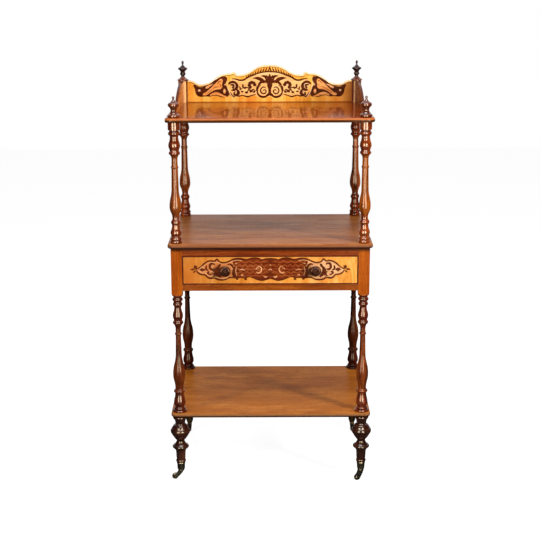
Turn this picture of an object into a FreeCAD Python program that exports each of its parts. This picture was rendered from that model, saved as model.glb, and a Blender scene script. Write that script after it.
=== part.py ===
import FreeCAD, Part
import math
import os

# Three-tier etagere: three moulded shelves on turned posts, a case with one drawer under the
# middle shelf, a gallery round the top shelf, turned feet on brass castors.
# Millimetres, +Z up. The drawer faces -Y; left and right are as seen from there. The origin
# is on the floor, under the middle of the whole piece with its knobs.

# Shelves
shelf_width = 608.0
shelf_depth = 462.0
shelf_thickness = 14.0
front_corner_round = 19.0
rear_corner_round = 6.0
edge_round_top = 6.0
edge_round_bottom = 4.5

# Heights between the shelves
foot_rise = 208.0           # floor to the bottom shelf's underside
lower_tier = 513.0          # bottom shelf to middle shelf
upper_tier = 357.5          # middle shelf to top shelf

# Posts, all on four upright axes
side_inset = 26.0           # shelf edge to post axis, at the sides
end_inset = 23.0            # the same at front and rear
foot_tenon_radius = 9.0
foot_tenon_rise = 22.0      # above the bottom shelf
post_foot_tenon_radius = 7.0
post_foot_tenon_drop = 26.0     # below the middle shelf
post_head_tenon_radius = 6.0
post_head_tenon_rise = 11.0     # above the top shelf

# Case round the drawer
block_width = 33.0          # square blocks of the lower posts
block_drop = 18.5           # block below the case
block_shoulder_height = 13.0    # rounded shoulder at the block's lower end
block_shoulder_step = 1.5
block_shoulder_bulge = 3.8
top_rail_height = 21.5
drawer_opening = 87.5
bottom_rail_height = 19.5
rail_setback = 1.0          # rails behind the blocks' front faces
board_setback = 3.0         # case sides and back behind the blocks' outer faces
case_side_thickness = 12.0
case_back_thickness = 10.0
tenon_length = 7.0          # of the rails and the back
side_tenon_length = 6.0
rail_tenon_thickness = 9.0
board_tenon_thickness = 5.0
rail_tenon_shoulder = 4.0
board_tenon_shoulder = 12.0

# Runners and kickers for the drawer, and its stops
runner_lap = 15.5           # width of a runner inside the blocks' inner faces
guide_height = 16.0
stop_width = 30.0
stop_depth = 6.0
stop_height = 5.0
stop_offset = 150.0

# Drawer
drawer_gap = 0.8            # beside and above the front
drawer_front_thickness = 20.0
drawer_side_thickness = 8.0
drawer_back_thickness = 8.0
drawer_bottom_thickness = 6.0
drawer_bottom_lift = 8.0    # drawer bottom above the sides' lower edge
drawer_side_headroom = 1.2  # sides below the kickers
drawer_back_headroom = 5.0  # back below the sides' upper edge
drawer_rear_gap = 8.0
groove_depth = 4.0
lap_thickness = 2.0         # wood between the cockbead and the dovetails
tail_count = 3
tail_root = 12.0
tail_flare = 2.5
cockbead_width = 3.2
cockbead_depth = 8.0
cockbead_proud = 1.2
cockbead_round = 1.3

# Knobs
knob_spacing = 267.0
knob_length = 30.0
knob_spindle_radius = 4.5

# Gallery on the top shelf
gallery_post_width = 30.0
gallery_post_chamfer = 8.8
gallery_post_height = 70.0
gallery_cap_height = 10.0
gallery_thickness = 12.0
gallery_housing = 4.0       # boards let into the posts
gallery_side_thickness = 8.0
gallery_side_offset = 2.0       # side boards' middle outside the posts' axes
gallery_side_front_height = 8.0
gallery_side_rear_height = 67.0
gallery_side_level = 70.0       # level stretch at the rear, before the sweep
gallery_side_clearance = 1.0    # behind the front finials
crest_height = 117.0
crest_level = 8.0           # half of the level stretch at the top
dip_offset = 101.0
dip_height = 86.0
nib_start = 107.0
nib_base_height = 87.0
nib_end = 124.0
nib_height = 95.0
shoulder_offset = 129.0
shoulder_height = 91.0
low_offset = 222.0
low_height = 56.5
gallery_end_rise = 7.0      # the back board is level for this far beside each post
gallery_end_clearance = 1.0     # under the posts' caps
dowel_radius = 2.5
dowel_depth = 8.0
back_dowel_spacing = 170.0
side_dowel_rears = (55.0, 190.0)    # from the rear post's front face

# Feet and finials
foot_bulb_radius = 30.0
finial_base_radius = 18.6
front_finial_height = 61.0
rear_finial_height = 52.0
rear_finial_pin_radius = 3.0
rear_finial_pin_length = 14.0

# Castors
wheel_radius = 9.5
wheel_width = 8.4
wheel_round = 1.6
castor_trail = 19.0         # post axis to wheel axle
castor_height = 33.0        # floor to the cup's underside
cup_height = 24.0
cup_floor = 3.5
cup_wall = 1.8
cup_flare = 1.2
cup_swell = 1.08            # half way up to the flare
foot_spigot_radius = 10.4
spindle_radius = 3.0
spindle_length = 40.0
pintle_radius = 2.8
pintle_head_radius = 4.6
pintle_head_height = 2.4
horn_disc_radius = 9.6
horn_disc_height = 4.4
horn_disc_round = 1.2
horn_width = 14.0
horn_neck_half = 7.6
horn_hub_radius = 6.8
horn_hub_low_angle = 236.0      # where the swept back and front meet the hub
horn_hub_high_angle = 70.0
horn_back_bend = (3.6, 14.2)    # a point of the swept back, and of the front
horn_front_bend = (11.6, 21.6)
axle_radius = 1.8
axle_proud = 0.5
castor_headings = {"front_left": 180.0, "front_right": 231.0, "rear_left": 265.0, "rear_right": 275.0}

edge_round_limit = 0.48     # of the wall that an edge's round is cut from
near = 0.01                 # how close a point counts as on a plane

# Clearances
glue_clearance = 0.1        # round tenons, dowels and pins
bore_end_gap = 1.0          # beyond a tenon's end
run_clearance = 0.3         # between parts that move on each other
axle_clearance = 0.1        # wheel on its axle

# Turned outlines, from the lower end up. Each stretch is (height, radius at its upper end,
# shape). A number as shape is the radius that a round or a hollow reaches at its middle.
STRAIGHT = "straight"
OGEE = "ogee"               # double curve that leaves both ends upright

foot_outline = 13.4, [
    (9.0, 13.4, 15.2),          # bead over the castor cup
    (6.0, 14.0, 13.4),
    (20.0, 14.8, STRAIGHT),     # taper
    (12.0, 22.0, 17.0),
    (9.0, 22.0, 25.2),          # ring
    (13.0, 12.2, 15.6),
    (3.0, 12.2, 12.0),          # neck
    (22.0, 27.0, 20.6),         # bulb, slimmer below
    (18.0, 25.0, foot_bulb_radius),
    (12.0, 15.2, 22.6),
    (7.0, 15.4, 14.6),
    (10.0, 18.6, 16.4),
    (10.0, 19.6, 21.8),         # ring under the shelf
]
lower_post_outline = 19.0, [
    (8.0, 18.5, 21.8),          # foot ring on the shelf
    (0.0, 15.0, STRAIGHT),
    (7.0, 14.6, 17.5),          # bead
    (3.0, 14.6, 13.8),
    (10.0, 17.8, OGEE),         # lower vase
    (31.0, 13.4, OGEE),
    (2.0, 13.4, STRAIGHT),
    (10.0, 13.6, 17.2),         # ring
    (4.0, 12.5, 12.4),
    (45.0, 18.4, OGEE),         # baluster
    (66.0, 9.3, OGEE),
    (56.0, 8.0, STRAIGHT),      # slender shaft
    (2.0, 8.5, STRAIGHT),
    (7.0, 8.2, 10.6),           # small ring
    (13.0, 8.0, STRAIGHT),
    (14.0, 12.8, 9.2),
    (10.0, 12.8, 15.9),         # ring
    (2.0, 12.6, STRAIGHT),
    (13.0, 15.5, OGEE),         # upper vase
    (27.0, 10.6, OGEE),
    (5.0, 11.8, 10.8),
    (10.0, 12.4, 14.6),         # two rings under the block
    (5.0, 12.6, 11.8),
    (10.0, 12.6, 15.9),
    (6.0, 13.8, 12.6),
]
upper_post_outline = 15.2, [
    (10.0, 15.0, 17.6),         # foot ring on the shelf
    (9.0, 14.4, 17.2),          # bead
    (3.0, 14.0, 13.2),
    (9.0, 16.4, OGEE),          # lower vase
    (18.0, 12.2, OGEE),
    (8.0, 12.0, 11.6),
    (12.0, 12.0, 14.4),         # ring
    (6.0, 9.9, 10.4),
    (34.0, 17.6, OGEE),         # baluster
    (56.0, 10.6, OGEE),
    (54.0, 9.6, STRAIGHT),      # shaft
    (3.0, 9.6, STRAIGHT),
    (8.0, 9.2, 11.2),           # small ring
    (19.0, 8.8, STRAIGHT),
    (13.0, 13.2, 9.7),
    (10.0, 13.4, 16.8),         # ring
    (18.0, 17.3, OGEE),         # upper vase
    (18.0, 13.2, OGEE),
    (10.0, 13.4, 12.3),
    (12.0, 13.6, 17.3),         # bead
    (4.0, 15.0, 14.0),
    (0.0, 17.8, STRAIGHT),
    (22.0, 17.8, 18.2),         # drum under the top shelf
]
front_finial_outline = 15.6, [
    (9.0, 15.0, finial_base_radius),
    (8.0, 9.0, 10.6),
    (6.0, 9.0, 8.4),            # waist
    (8.0, 14.0, 10.4),
    (11.0, 12.5, 16.4),         # disc
    (9.0, 3.2, 6.2),
    (2.0, 2.2, STRAIGHT),
    (8.0, 1.0, 3.9),            # bud
]
rear_finial_outline = 7.0, [
    (5.0, 5.4, 5.6),            # waist
    (11.0, 6.6, 8.9),           # bulb
    (8.0, 12.6, 8.8),           # cup
    (6.0, 12.4, 15.0),
    (8.0, 3.0, 6.4),
    (3.0, 1.8, STRAIGHT),
    (11.0, 1.0, 3.7),           # bud
]
cap_outline = 17.8, [
    (2.5, 17.8, 18.7),          # thin edge
    (7.5, 7.6, 11.6),           # hollow roof
]
knob_outline = 9.6, [
    (3.0, 8.6, 10.4),           # collar
    (6.0, 7.2, 6.9),            # waist
    (6.0, 14.8, 9.8),
    (6.0, 14.2, 16.2),          # rim
    (1.6, 11.8, 13.6),
    (0.0, 10.6, STRAIGHT),
    (2.6, 9.8, 10.8),           # raised rings on the face
    (0.0, 6.4, STRAIGHT),
    (1.8, 5.4, 6.2),
    (0.0, 3.8, STRAIGHT),
    (3.0, 1.0, 3.2),            # button
]
cup_outline = foot_spigot_radius, [
    (4.0, foot_spigot_radius + cup_flare, foot_spigot_radius + cup_swell),
    (14.0, foot_spigot_radius + cup_wall, STRAIGHT),
    (6.0, foot_spigot_radius + cup_wall, foot_spigot_radius + cup_wall + cup_flare),   # lip
]

# Levels and faces that follow from the sizes
bottom_shelf_top = foot_rise + shelf_thickness
middle_shelf_base = bottom_shelf_top + lower_tier
middle_shelf_top = middle_shelf_base + shelf_thickness
top_shelf_base = middle_shelf_top + upper_tier
top_shelf_top = top_shelf_base + shelf_thickness
opening_top = middle_shelf_base - top_rail_height
opening_base = opening_top - drawer_opening
case_base = opening_base - bottom_rail_height
block_base = case_base - block_drop

drawer_face_inset = end_inset - block_width / 2 + rail_setback
bulb_overhang = max(foot_bulb_radius - end_inset, 0.0)
front_overhang = max(knob_length - drawer_face_inset, bulb_overhang)
shelf_front = front_overhang - (front_overhang + shelf_depth + bulb_overhang) / 2
shelf_back = shelf_front + shelf_depth
post_x = shelf_width / 2 - side_inset
front_axis = shelf_front + end_inset
rear_axis = shelf_back - end_inset
block_inner = post_x - block_width / 2
case_side_outer = post_x + block_width / 2 - board_setback
case_side_inner = case_side_outer - case_side_thickness
drawer_face = shelf_front + drawer_face_inset
rail_back = front_axis + block_width / 2
case_back_rear = rear_axis + block_width / 2 - board_setback
case_back_front = case_back_rear - case_back_thickness
gallery_side_x = post_x + gallery_side_offset
corners = {
    "front_left": (-post_x, front_axis),
    "front_right": (post_x, front_axis),
    "rear_left": (-post_x, rear_axis),
    "rear_right": (post_x, rear_axis),
}
sides = {"left": -1, "right": 1}


def point(x, y, z):
    return FreeCAD.Vector(x, y, z)


def box(x_ends, y_ends, z_ends):
    """Box between two values along each axis, given in either order."""
    low = [min(ends) for ends in (x_ends, y_ends, z_ends)]
    size = [abs(ends[1] - ends[0]) for ends in (x_ends, y_ends, z_ends)]
    return Part.makeBox(*size, point(*low))


def grown(ends, clearance):
    return (min(ends) - clearance, max(ends) + clearance)


def thick(middle, thickness):
    return (middle - thickness / 2, middle + thickness / 2)


def rod(x, y, z_ends, radius):
    return Part.makeCylinder(radius, z_ends[1] - z_ends[0], point(x, y, z_ends[0]))


def fuse(first, *others):
    return first.multiFuse(list(others)).removeSplitter()


def ogee_points(start, end):
    """Points inside a double curve that leaves both ends along the second coordinate."""
    across = (end[0] - start[0]) / 2
    along = (end[1] - start[1]) / 2
    radius = (across**2 + along**2) / (2 * abs(across))
    half_turn = math.atan2(abs(along), radius - abs(across)) / 2
    aside = math.copysign(radius * (1 - math.cos(half_turn)), across)
    ahead = math.copysign(radius * math.sin(half_turn), along)
    return [
        (start[0] + aside, start[1] + ahead),
        (start[0] + across, start[1] + along),
        (end[0] - aside, end[1] - ahead),
    ]


def ogee_edges(start, end, place):
    """The two arcs of a double curve; place turns a pair of coordinates into a point."""
    first, middle, last = [place(*pair) for pair in ogee_points(start, end)]
    return [
        Part.Arc(place(*start), first, middle).toShape(),
        Part.Arc(middle, last, place(*end)).toShape(),
    ]


def turned(outline, length):
    """Solid turned about Z from z = 0, its outline stretched to the length."""
    radius, stretches = outline
    stretch = length / sum(height for height, _, _ in stretches)

    def place(r, z):
        return point(r, 0, z)

    edges = [Part.makeLine(place(0, 0), place(radius, 0))]
    level = 0.0
    for height, end_radius, shape in stretches:
        top = level + height * stretch
        start, end = (radius, level), (end_radius, top)
        if shape == OGEE:
            edges += ogee_edges(start, end, place)
        elif shape == STRAIGHT:
            edges.append(Part.makeLine(place(*start), place(*end)))
        else:
            middle = place(shape, (level + top) / 2)
            edges.append(Part.Arc(place(*start), middle, place(*end)).toShape())
        radius, level = end_radius, top
    edges.append(Part.makeLine(place(radius, level), place(0, level)))
    edges.append(Part.makeLine(place(0, level), place(0, 0)))
    face = Part.Face(Part.Wire(edges))
    return face.revolve(point(0, 0, 0), point(0, 0, 1), 360)


def moved(shape, x, y, z):
    return shape.translated(point(x, y, z))


def rims(shape):
    """Closed circular edges."""
    return [edge for edge in shape.Edges if len(edge.Vertexes) == 1]


def shelf(base, bore_radius):
    """Shelf with rounded corners, moulded at the front and sides, bored on the post axes."""
    half = shelf_width / 2
    board = box((-half, half), (shelf_front, shelf_back), (base, base + shelf_thickness))
    for y, radius in ((shelf_front, front_corner_round), (shelf_back, rear_corner_round)):
        uprights = [e for e in board.Edges if all(abs(v.Y - y) < near for v in e.Vertexes)
                    and abs(e.Vertexes[0].X - e.Vertexes[-1].X) < near]
        board = board.makeFillet(radius, uprights)
    for z, radius in ((base + shelf_thickness, edge_round_top), (base, edge_round_bottom)):
        rim = [e for e in board.Edges if all(abs(v.Z - z) < near for v in e.Vertexes)
               and e.BoundBox.YMin < shelf_back - near]
        board = board.makeFillet(min(radius, edge_round_limit * shelf_thickness), rim)
    bores = [rod(x, y, (base, base + shelf_thickness), bore_radius + glue_clearance)
             for x, y in corners.values()]
    return board.cut(bores)


def case_parts():
    """Case boards, each as a board and the ends of a tongue through it that makes its tenons."""
    heights = (case_base, middle_shelf_base)
    tenon_heights = grown(heights, -board_tenon_shoulder)
    across = (-block_inner, block_inner)

    def rail(z_ends):
        middle = (drawer_face + rail_back) / 2
        board = box(across, (drawer_face, rail_back), z_ends)
        return (board, grown(across, tenon_length), thick(middle, rail_tenon_thickness),
                grown(z_ends, -rail_tenon_shoulder))

    def side(sign):
        middle = sign * (case_side_outer + case_side_inner) / 2
        along = (front_axis + block_width / 2, rear_axis - block_width / 2)
        board = box((sign * case_side_inner, sign * case_side_outer), along, heights)
        return (board, thick(middle, board_tenon_thickness), grown(along, side_tenon_length),
                tenon_heights)

    def back():
        middle = (case_back_front + case_back_rear) / 2
        board = box(across, (case_back_front, case_back_rear), heights)
        return (board, grown(across, tenon_length), thick(middle, board_tenon_thickness),
                tenon_heights)

    return {
        "case_top_rail": rail((opening_top, middle_shelf_base)),
        "case_bottom_rail": rail((case_base, opening_base)),
        "case_side_left": side(-1),
        "case_side_right": side(1),
        "case_back": back(),
    }


def case_boards():
    return {name: fuse(board, box(*tongue)) for name, (board, *tongue) in case_parts().items()}


def mortises():
    return [box(*(grown(ends, glue_clearance) for ends in tongue))
            for _, *tongue in case_parts().values()]


def foot(x, y):
    """Turned foot: spigot in the castor cup, tenon up through the shelf into the post."""
    spigot_base = castor_height + cup_floor
    turning_base = castor_height + cup_height
    body = moved(turned(foot_outline, foot_rise - turning_base), x, y, turning_base)
    spigot = rod(x, y, (spigot_base, turning_base), foot_spigot_radius)
    tenon = rod(x, y, (foot_rise, bottom_shelf_top + foot_tenon_rise), foot_tenon_radius)
    bore = rod(x, y, (spigot_base, spigot_base + spindle_length + bore_end_gap),
               spindle_radius + glue_clearance)
    return fuse(body, spigot, tenon).cut(bore)


def lower_post(x, y):
    """Turned post that ends in the square block with the mortises of the case."""
    turning_length = block_base - bottom_shelf_top
    body = moved(turned(lower_post_outline, turning_length), x, y, bottom_shelf_top)
    half = block_width / 2
    corner = math.hypot(half, half) + block_shoulder_step
    block = box((x - half, x + half), (y - half, y + half), (block_base, middle_shelf_base))
    block_height = middle_shelf_base - block_base
    shoulder = turned((half - block_shoulder_step, [
        (block_shoulder_height, corner, half + block_shoulder_bulge),
        (block_height - block_shoulder_height, corner, STRAIGHT),
    ]), block_height)
    block = block.common(moved(shoulder, x, y, block_base))
    foot_bore = rod(x, y, (bottom_shelf_top, bottom_shelf_top + foot_tenon_rise + bore_end_gap),
                    foot_tenon_radius + glue_clearance)
    post_bore = rod(x, y, (middle_shelf_base - post_foot_tenon_drop - bore_end_gap,
                           middle_shelf_base), post_foot_tenon_radius + glue_clearance)
    return fuse(body, block).cut([foot_bore, post_bore] + mortises())


def upper_post(x, y):
    body = moved(turned(upper_post_outline, upper_tier), x, y, middle_shelf_top)
    foot_tenon = rod(x, y, (middle_shelf_base - post_foot_tenon_drop, middle_shelf_top),
                     post_foot_tenon_radius)
    head_tenon = rod(x, y, (top_shelf_base, top_shelf_top + post_head_tenon_rise),
                     post_head_tenon_radius)
    return fuse(body, foot_tenon, head_tenon)


def head_bore(x, y):
    """Bore in what stands on the top shelf, for the upper post's head tenon."""
    return rod(x, y, (top_shelf_top, top_shelf_top + post_head_tenon_rise + bore_end_gap),
               post_head_tenon_radius + glue_clearance)


def front_finial(x, y):
    body = moved(turned(front_finial_outline, front_finial_height), x, y, top_shelf_top)
    return body.cut(head_bore(x, y))


# Gallery
def back_board():
    """Back board with the crest: outline of the right half, mirrored to the left."""
    front = rear_axis - gallery_thickness / 2
    end = post_x - gallery_post_width / 2 + gallery_housing
    end_height = gallery_post_height - gallery_end_clearance

    def place(height, x):
        return point(x, front, top_shelf_top + height)

    def line(start, finish):
        return [Part.makeLine(place(*start), place(*finish))]

    crest = (crest_height, crest_level)
    dip = (dip_height, dip_offset)
    nib_low = (nib_base_height, nib_start)
    nib_middle = (nib_height, (nib_start + nib_end) / 2)
    nib_high = (shoulder_height, nib_end)
    shoulder = (shoulder_height, shoulder_offset)
    low = (low_height, low_offset)
    rise = (end_height, end - gallery_housing - gallery_end_rise)
    top = (end_height, end)
    half = line((crest_height, 0), crest) + ogee_edges(crest, dip, place) + line(dip, nib_low)
    half.append(Part.Arc(place(*nib_low), place(*nib_middle), place(*nib_high)).toShape())
    half += line(nib_high, shoulder) + ogee_edges(shoulder, low, place)
    half += ogee_edges(low, rise, place) + line(rise, top)
    half += line(top, (0, end)) + line((0, end), (0, 0))
    mirrored = [edge.mirror(point(0, 0, 0), point(1, 0, 0)) for edge in half]
    wire = Part.Wire(Part.__sortEdges__(half + mirrored))
    board = Part.Face(wire).extrude(point(0, gallery_thickness, 0))
    return board.cut(dowels(glue_clearance, back_dowel_places()))


def side_board(sign):
    """Side board, low behind the front finial and swept up to the rear post."""
    left = sign * gallery_side_x - gallery_side_thickness / 2
    front = front_axis + finial_base_radius + gallery_side_clearance
    rear = rear_axis - gallery_post_width / 2 + gallery_housing

    def place(height, y):
        return point(left, y, top_shelf_top + height)

    low = (gallery_side_front_height, front)
    high = (gallery_side_rear_height, rear - gallery_housing - gallery_side_level)
    corner_points = [place(*low), place(0, front), place(0, rear),
                     place(gallery_side_rear_height, rear), place(*high)]
    edges = [Part.makeLine(a, b) for a, b in zip(corner_points, corner_points[1:])]
    edges += ogee_edges(high, low, place)
    board = Part.Face(Part.Wire(edges)).extrude(point(gallery_side_thickness, 0, 0))
    return board.cut(dowels(glue_clearance, side_dowel_places(sign)))


def back_dowel_places():
    return [(step * back_dowel_spacing, rear_axis) for step in (-1, 0, 1)]


def side_dowel_places(sign):
    post_face = rear_axis - gallery_post_width / 2
    return [(sign * gallery_side_x, post_face - distance) for distance in side_dowel_rears]


def dowels(clearance, places):
    """Dowels half in the top shelf and half in a gallery board, or their bores."""
    z_ends = (top_shelf_top - dowel_depth - clearance, top_shelf_top + dowel_depth + clearance)
    return [rod(x, y, z_ends, dowel_radius + clearance) for x, y in places]


def gallery_post(x, y):
    """Octagonal post under a turned cap, grooved for the boards' ends."""
    half = gallery_post_width / 2
    z_ends = (top_shelf_top, top_shelf_top + gallery_post_height)
    shaft = box((x - half, x + half), (y - half, y + half), z_ends)
    uprights = [e for e in shaft.Edges if abs(e.Vertexes[0].Z - e.Vertexes[-1].Z) > near]
    shaft = shaft.makeChamfer(gallery_post_chamfer, uprights)
    cap = moved(turned(cap_outline, gallery_cap_height), x, y, z_ends[1])
    slot = gallery_thickness / 2 + glue_clearance
    depth = half - gallery_housing - glue_clearance
    inward = -math.copysign(1, x)
    back_groove = box((x + inward * depth, x + inward * half), (y - slot, y + slot), z_ends)
    side_groove = box(
        thick(math.copysign(gallery_side_x, x), gallery_side_thickness + 2 * glue_clearance),
        (y - half, y - depth),
        (top_shelf_top, top_shelf_top + gallery_side_rear_height + glue_clearance))
    cap_top = z_ends[1] + gallery_cap_height
    pin_bore = rod(x, y, (cap_top - rear_finial_pin_length - bore_end_gap, cap_top),
                   rear_finial_pin_radius + glue_clearance)
    return fuse(shaft, cap).cut([back_groove, side_groove, pin_bore, head_bore(x, y)])


def rear_finial(x, y):
    seat = top_shelf_top + gallery_post_height + gallery_cap_height
    body = moved(turned(rear_finial_outline, rear_finial_height), x, y, seat)
    return fuse(body, rod(x, y, (seat - rear_finial_pin_length, seat), rear_finial_pin_radius))


# Runners, kickers and stops
def runner(sign):
    """Runner under a drawer side, with the guide that keeps the drawer straight."""
    between_blocks = (front_axis + block_width / 2, rear_axis - block_width / 2)
    strip = box((sign * (block_inner - runner_lap), sign * block_inner),
                (rail_back, case_back_front), (case_base, opening_base))
    bearer = box((sign * block_inner, sign * case_side_inner), between_blocks,
                 (case_base, opening_base + guide_height))
    return fuse(strip, bearer)


def kicker(sign):
    """Strip over a drawer side, under the middle shelf."""
    between_blocks = (front_axis + block_width / 2, rear_axis - block_width / 2)
    strip = box((sign * (block_inner - runner_lap), sign * block_inner),
                (rail_back, case_back_front), (opening_top, middle_shelf_base))
    bearer = box((sign * block_inner, sign * case_side_inner), between_blocks,
                 (opening_top, middle_shelf_base))
    return fuse(strip, bearer)


def stops():
    front = drawer_face + drawer_front_thickness + run_clearance
    return Part.makeCompound([
        box((x - stop_width / 2, x + stop_width / 2), (front, front + stop_depth),
            (opening_base, opening_base + stop_height))
        for x in (-stop_offset, stop_offset)])


# Drawer
drawer_half = block_inner - drawer_gap
drawer_rear = case_back_front - drawer_rear_gap
side_base = opening_base + run_clearance
side_top = opening_top - drawer_side_headroom
front_base = opening_base + run_clearance
front_top = opening_top - drawer_gap
bottom_base = side_base + drawer_bottom_lift
bottom_top = bottom_base + drawer_bottom_thickness
back_top = side_top - drawer_back_headroom
front_inner = drawer_face + drawer_front_thickness
lap_inner = drawer_face + cockbead_depth + lap_thickness
back_inner = drawer_rear - drawer_back_thickness
side_inner = drawer_half - drawer_side_thickness
knob_height = (opening_base + opening_top) / 2


def bottom_groove():
    """Space of the drawer bottom in the grooves of the front and sides."""
    half = side_inner + groove_depth
    return box((-half, half), (front_inner - groove_depth, drawer_rear),
               grown((bottom_base, bottom_top), glue_clearance))


def tails(sign):
    """Dovetail tails at both ends of a drawer side."""
    x_ends = (sign * side_inner, sign * drawer_half)
    low = bottom_top + glue_clearance
    pitch = (back_top - low) / tail_count
    shapes = []
    for root, tip in ((front_inner, lap_inner), (back_inner, drawer_rear)):
        for number in range(tail_count):
            middle = low + pitch * (number + 0.5)
            half_root = tail_root / 2
            half_tip = half_root + tail_flare
            outline = [(root, middle - half_root), (tip, middle - half_tip),
                       (tip, middle + half_tip), (root, middle + half_root)]
            points = [point(min(x_ends), y, z) for y, z in outline + outline[:1]]
            shapes.append(Part.Face(Part.makePolygon(points)).extrude(
                point(drawer_side_thickness, 0, 0)))
    return shapes


def drawer_side(sign):
    board = box((sign * side_inner, sign * drawer_half), (front_inner, back_inner),
                (side_base, side_top))
    tail_ledge = box((sign * side_inner, sign * drawer_half), (back_inner, drawer_rear),
                     (side_base, bottom_top + glue_clearance))
    return fuse(board, tail_ledge, *tails(sign)).cut(bottom_groove())


def drawer_front():
    """Front with a rebate round its face for the cockbead."""
    board = box((-drawer_half, drawer_half), (drawer_face, front_inner), (front_base, front_top))
    inner = box((-drawer_half + cockbead_width, drawer_half - cockbead_width),
                (drawer_face, drawer_face + cockbead_depth),
                (front_base + cockbead_width, front_top - cockbead_width))
    rebate = box((-drawer_half, drawer_half), (drawer_face, drawer_face + cockbead_depth),
                 (front_base, front_top)).cut(inner)
    spindles = [knob_spindle(x, glue_clearance) for x in (-knob_spacing / 2, knob_spacing / 2)]
    return board.cut([rebate, bottom_groove()] + tails(-1) + tails(1) + spindles)


def cockbead():
    """Four mitred strips round the drawer front, rounded where they stand proud."""
    outer = [(-drawer_half, front_base), (drawer_half, front_base),
             (drawer_half, front_top), (-drawer_half, front_top)]
    inner = [(x - math.copysign(cockbead_width, x),
              z + (cockbead_width if z == front_base else -cockbead_width)) for x, z in outer]
    nose = drawer_face - cockbead_proud
    strips = []
    for here in range(4):
        there = (here + 1) % 4
        ring = [outer[here], outer[there], inner[there], inner[here], outer[here]]
        strip = Part.Face(Part.makePolygon([point(x, nose, z) for x, z in ring])).extrude(
            point(0, cockbead_depth + cockbead_proud, 0))
        long_edges = [e for e in strip.Edges if e.BoundBox.YMax < nose + near
                      and min(abs(e.tangentAt(0).x), abs(e.tangentAt(0).z)) < near]
        strips.append(strip.makeFillet(min(cockbead_round, edge_round_limit * cockbead_width),
                                       long_edges))
    return Part.makeCompound(strips)


def drawer_back():
    board = box((-drawer_half, drawer_half), (back_inner, drawer_rear),
                (bottom_top + glue_clearance, back_top))
    return board.cut(tails(-1) + tails(1))


def drawer_bottom():
    half = side_inner + groove_depth - glue_clearance
    return box((-half, half), (front_inner - groove_depth + glue_clearance, drawer_rear),
               (bottom_base, bottom_top))


def knob_spindle(x, clearance):
    return Part.makeCylinder(knob_spindle_radius + clearance, drawer_front_thickness,
                             point(x, drawer_face, knob_height), point(0, 1, 0))


def knob(x):
    body = turned(knob_outline, knob_length)
    body.rotate(point(0, 0, 0), point(1, 0, 0), 90)
    return fuse(moved(body, x, drawer_face, knob_height), knob_spindle(x, 0))


# Castors: made with the wheel trailing along +X from an axis at the origin, then turned
def castor_cup():
    """Cup round the foot's spigot, with the spindle above and the riveted pintle below."""
    body = moved(turned(cup_outline, cup_height), 0, 0, castor_height)
    socket_base = castor_height + cup_floor
    socket = rod(0, 0, (socket_base, castor_height + cup_height), foot_spigot_radius + glue_clearance)
    spindle = rod(0, 0, (socket_base, socket_base + spindle_length), spindle_radius)
    head_top = castor_height - 2 * run_clearance - horn_disc_height
    pintle = rod(0, 0, (head_top, castor_height), pintle_radius)
    head = rod(0, 0, (head_top - pintle_head_height, head_top), pintle_head_radius)
    return fuse(body.cut(socket), spindle, pintle, head)


def castor_horn():
    """Horn: a disc that turns on the pintle and two cheeks swept back to the axle."""
    disc_top = castor_height - run_clearance
    disc_base = disc_top - horn_disc_height
    disc = rod(0, 0, (disc_base, disc_top), horn_disc_radius)
    disc = disc.makeFillet(horn_disc_round, rims(disc))
    web_top = disc_base + horn_disc_round

    def place(x, z):
        return point(x, -horn_width / 2, z)

    def hub(angle):
        turn = math.radians(angle)
        return place(castor_trail + horn_hub_radius * math.cos(turn),
                     wheel_radius + horn_hub_radius * math.sin(turn))

    neck_back, neck_front = place(-horn_neck_half, web_top), place(horn_neck_half, web_top)
    hub_low, hub_high = hub(horn_hub_low_angle), hub(horn_hub_high_angle)
    edges = [
        Part.makeLine(neck_front, neck_back),
        Part.Arc(neck_back, place(*horn_back_bend), hub_low).toShape(),
        Part.Arc(hub_low, hub(0), hub_high).toShape(),
        Part.Arc(hub_high, place(*horn_front_bend), neck_front).toShape(),
    ]
    web = Part.Face(Part.Wire(edges)).extrude(point(0, horn_width, 0))
    fork = wheel_width / 2 + run_clearance
    slot = Part.makeCylinder(wheel_radius + 2 * run_clearance, 2 * fork,
                             point(castor_trail, -fork, wheel_radius), point(0, 1, 0))
    pocket = rod(0, 0, (0, disc_base), pintle_head_radius + 2 * run_clearance)
    hole = rod(0, 0, (disc_base, disc_top), pintle_radius + run_clearance)
    return fuse(disc, web).cut([slot, pocket, hole, castor_axle(glue_clearance)])


def castor_axle(clearance=0.0):
    half = horn_width / 2 + axle_proud
    return Part.makeCylinder(axle_radius + clearance, 2 * half,
                             point(castor_trail, -half, wheel_radius), point(0, 1, 0))


def castor_wheel():
    body = rod(0, 0, (0, wheel_width), wheel_radius)
    body = body.makeFillet(wheel_round, rims(body))
    body = body.cut(rod(0, 0, (0, wheel_width), axle_radius + axle_clearance))
    body.rotate(point(0, 0, 0), point(1, 0, 0), 90)
    return moved(body, castor_trail, wheel_width / 2, wheel_radius)


def placed(shape, corner):
    """Castor part turned to its heading under a corner's post."""
    x, y = corners[corner]
    turned_part = shape.copy()
    turned_part.rotate(point(0, 0, 0), point(0, 0, 1), castor_headings[corner])
    return moved(turned_part, x, y, 0)


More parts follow.
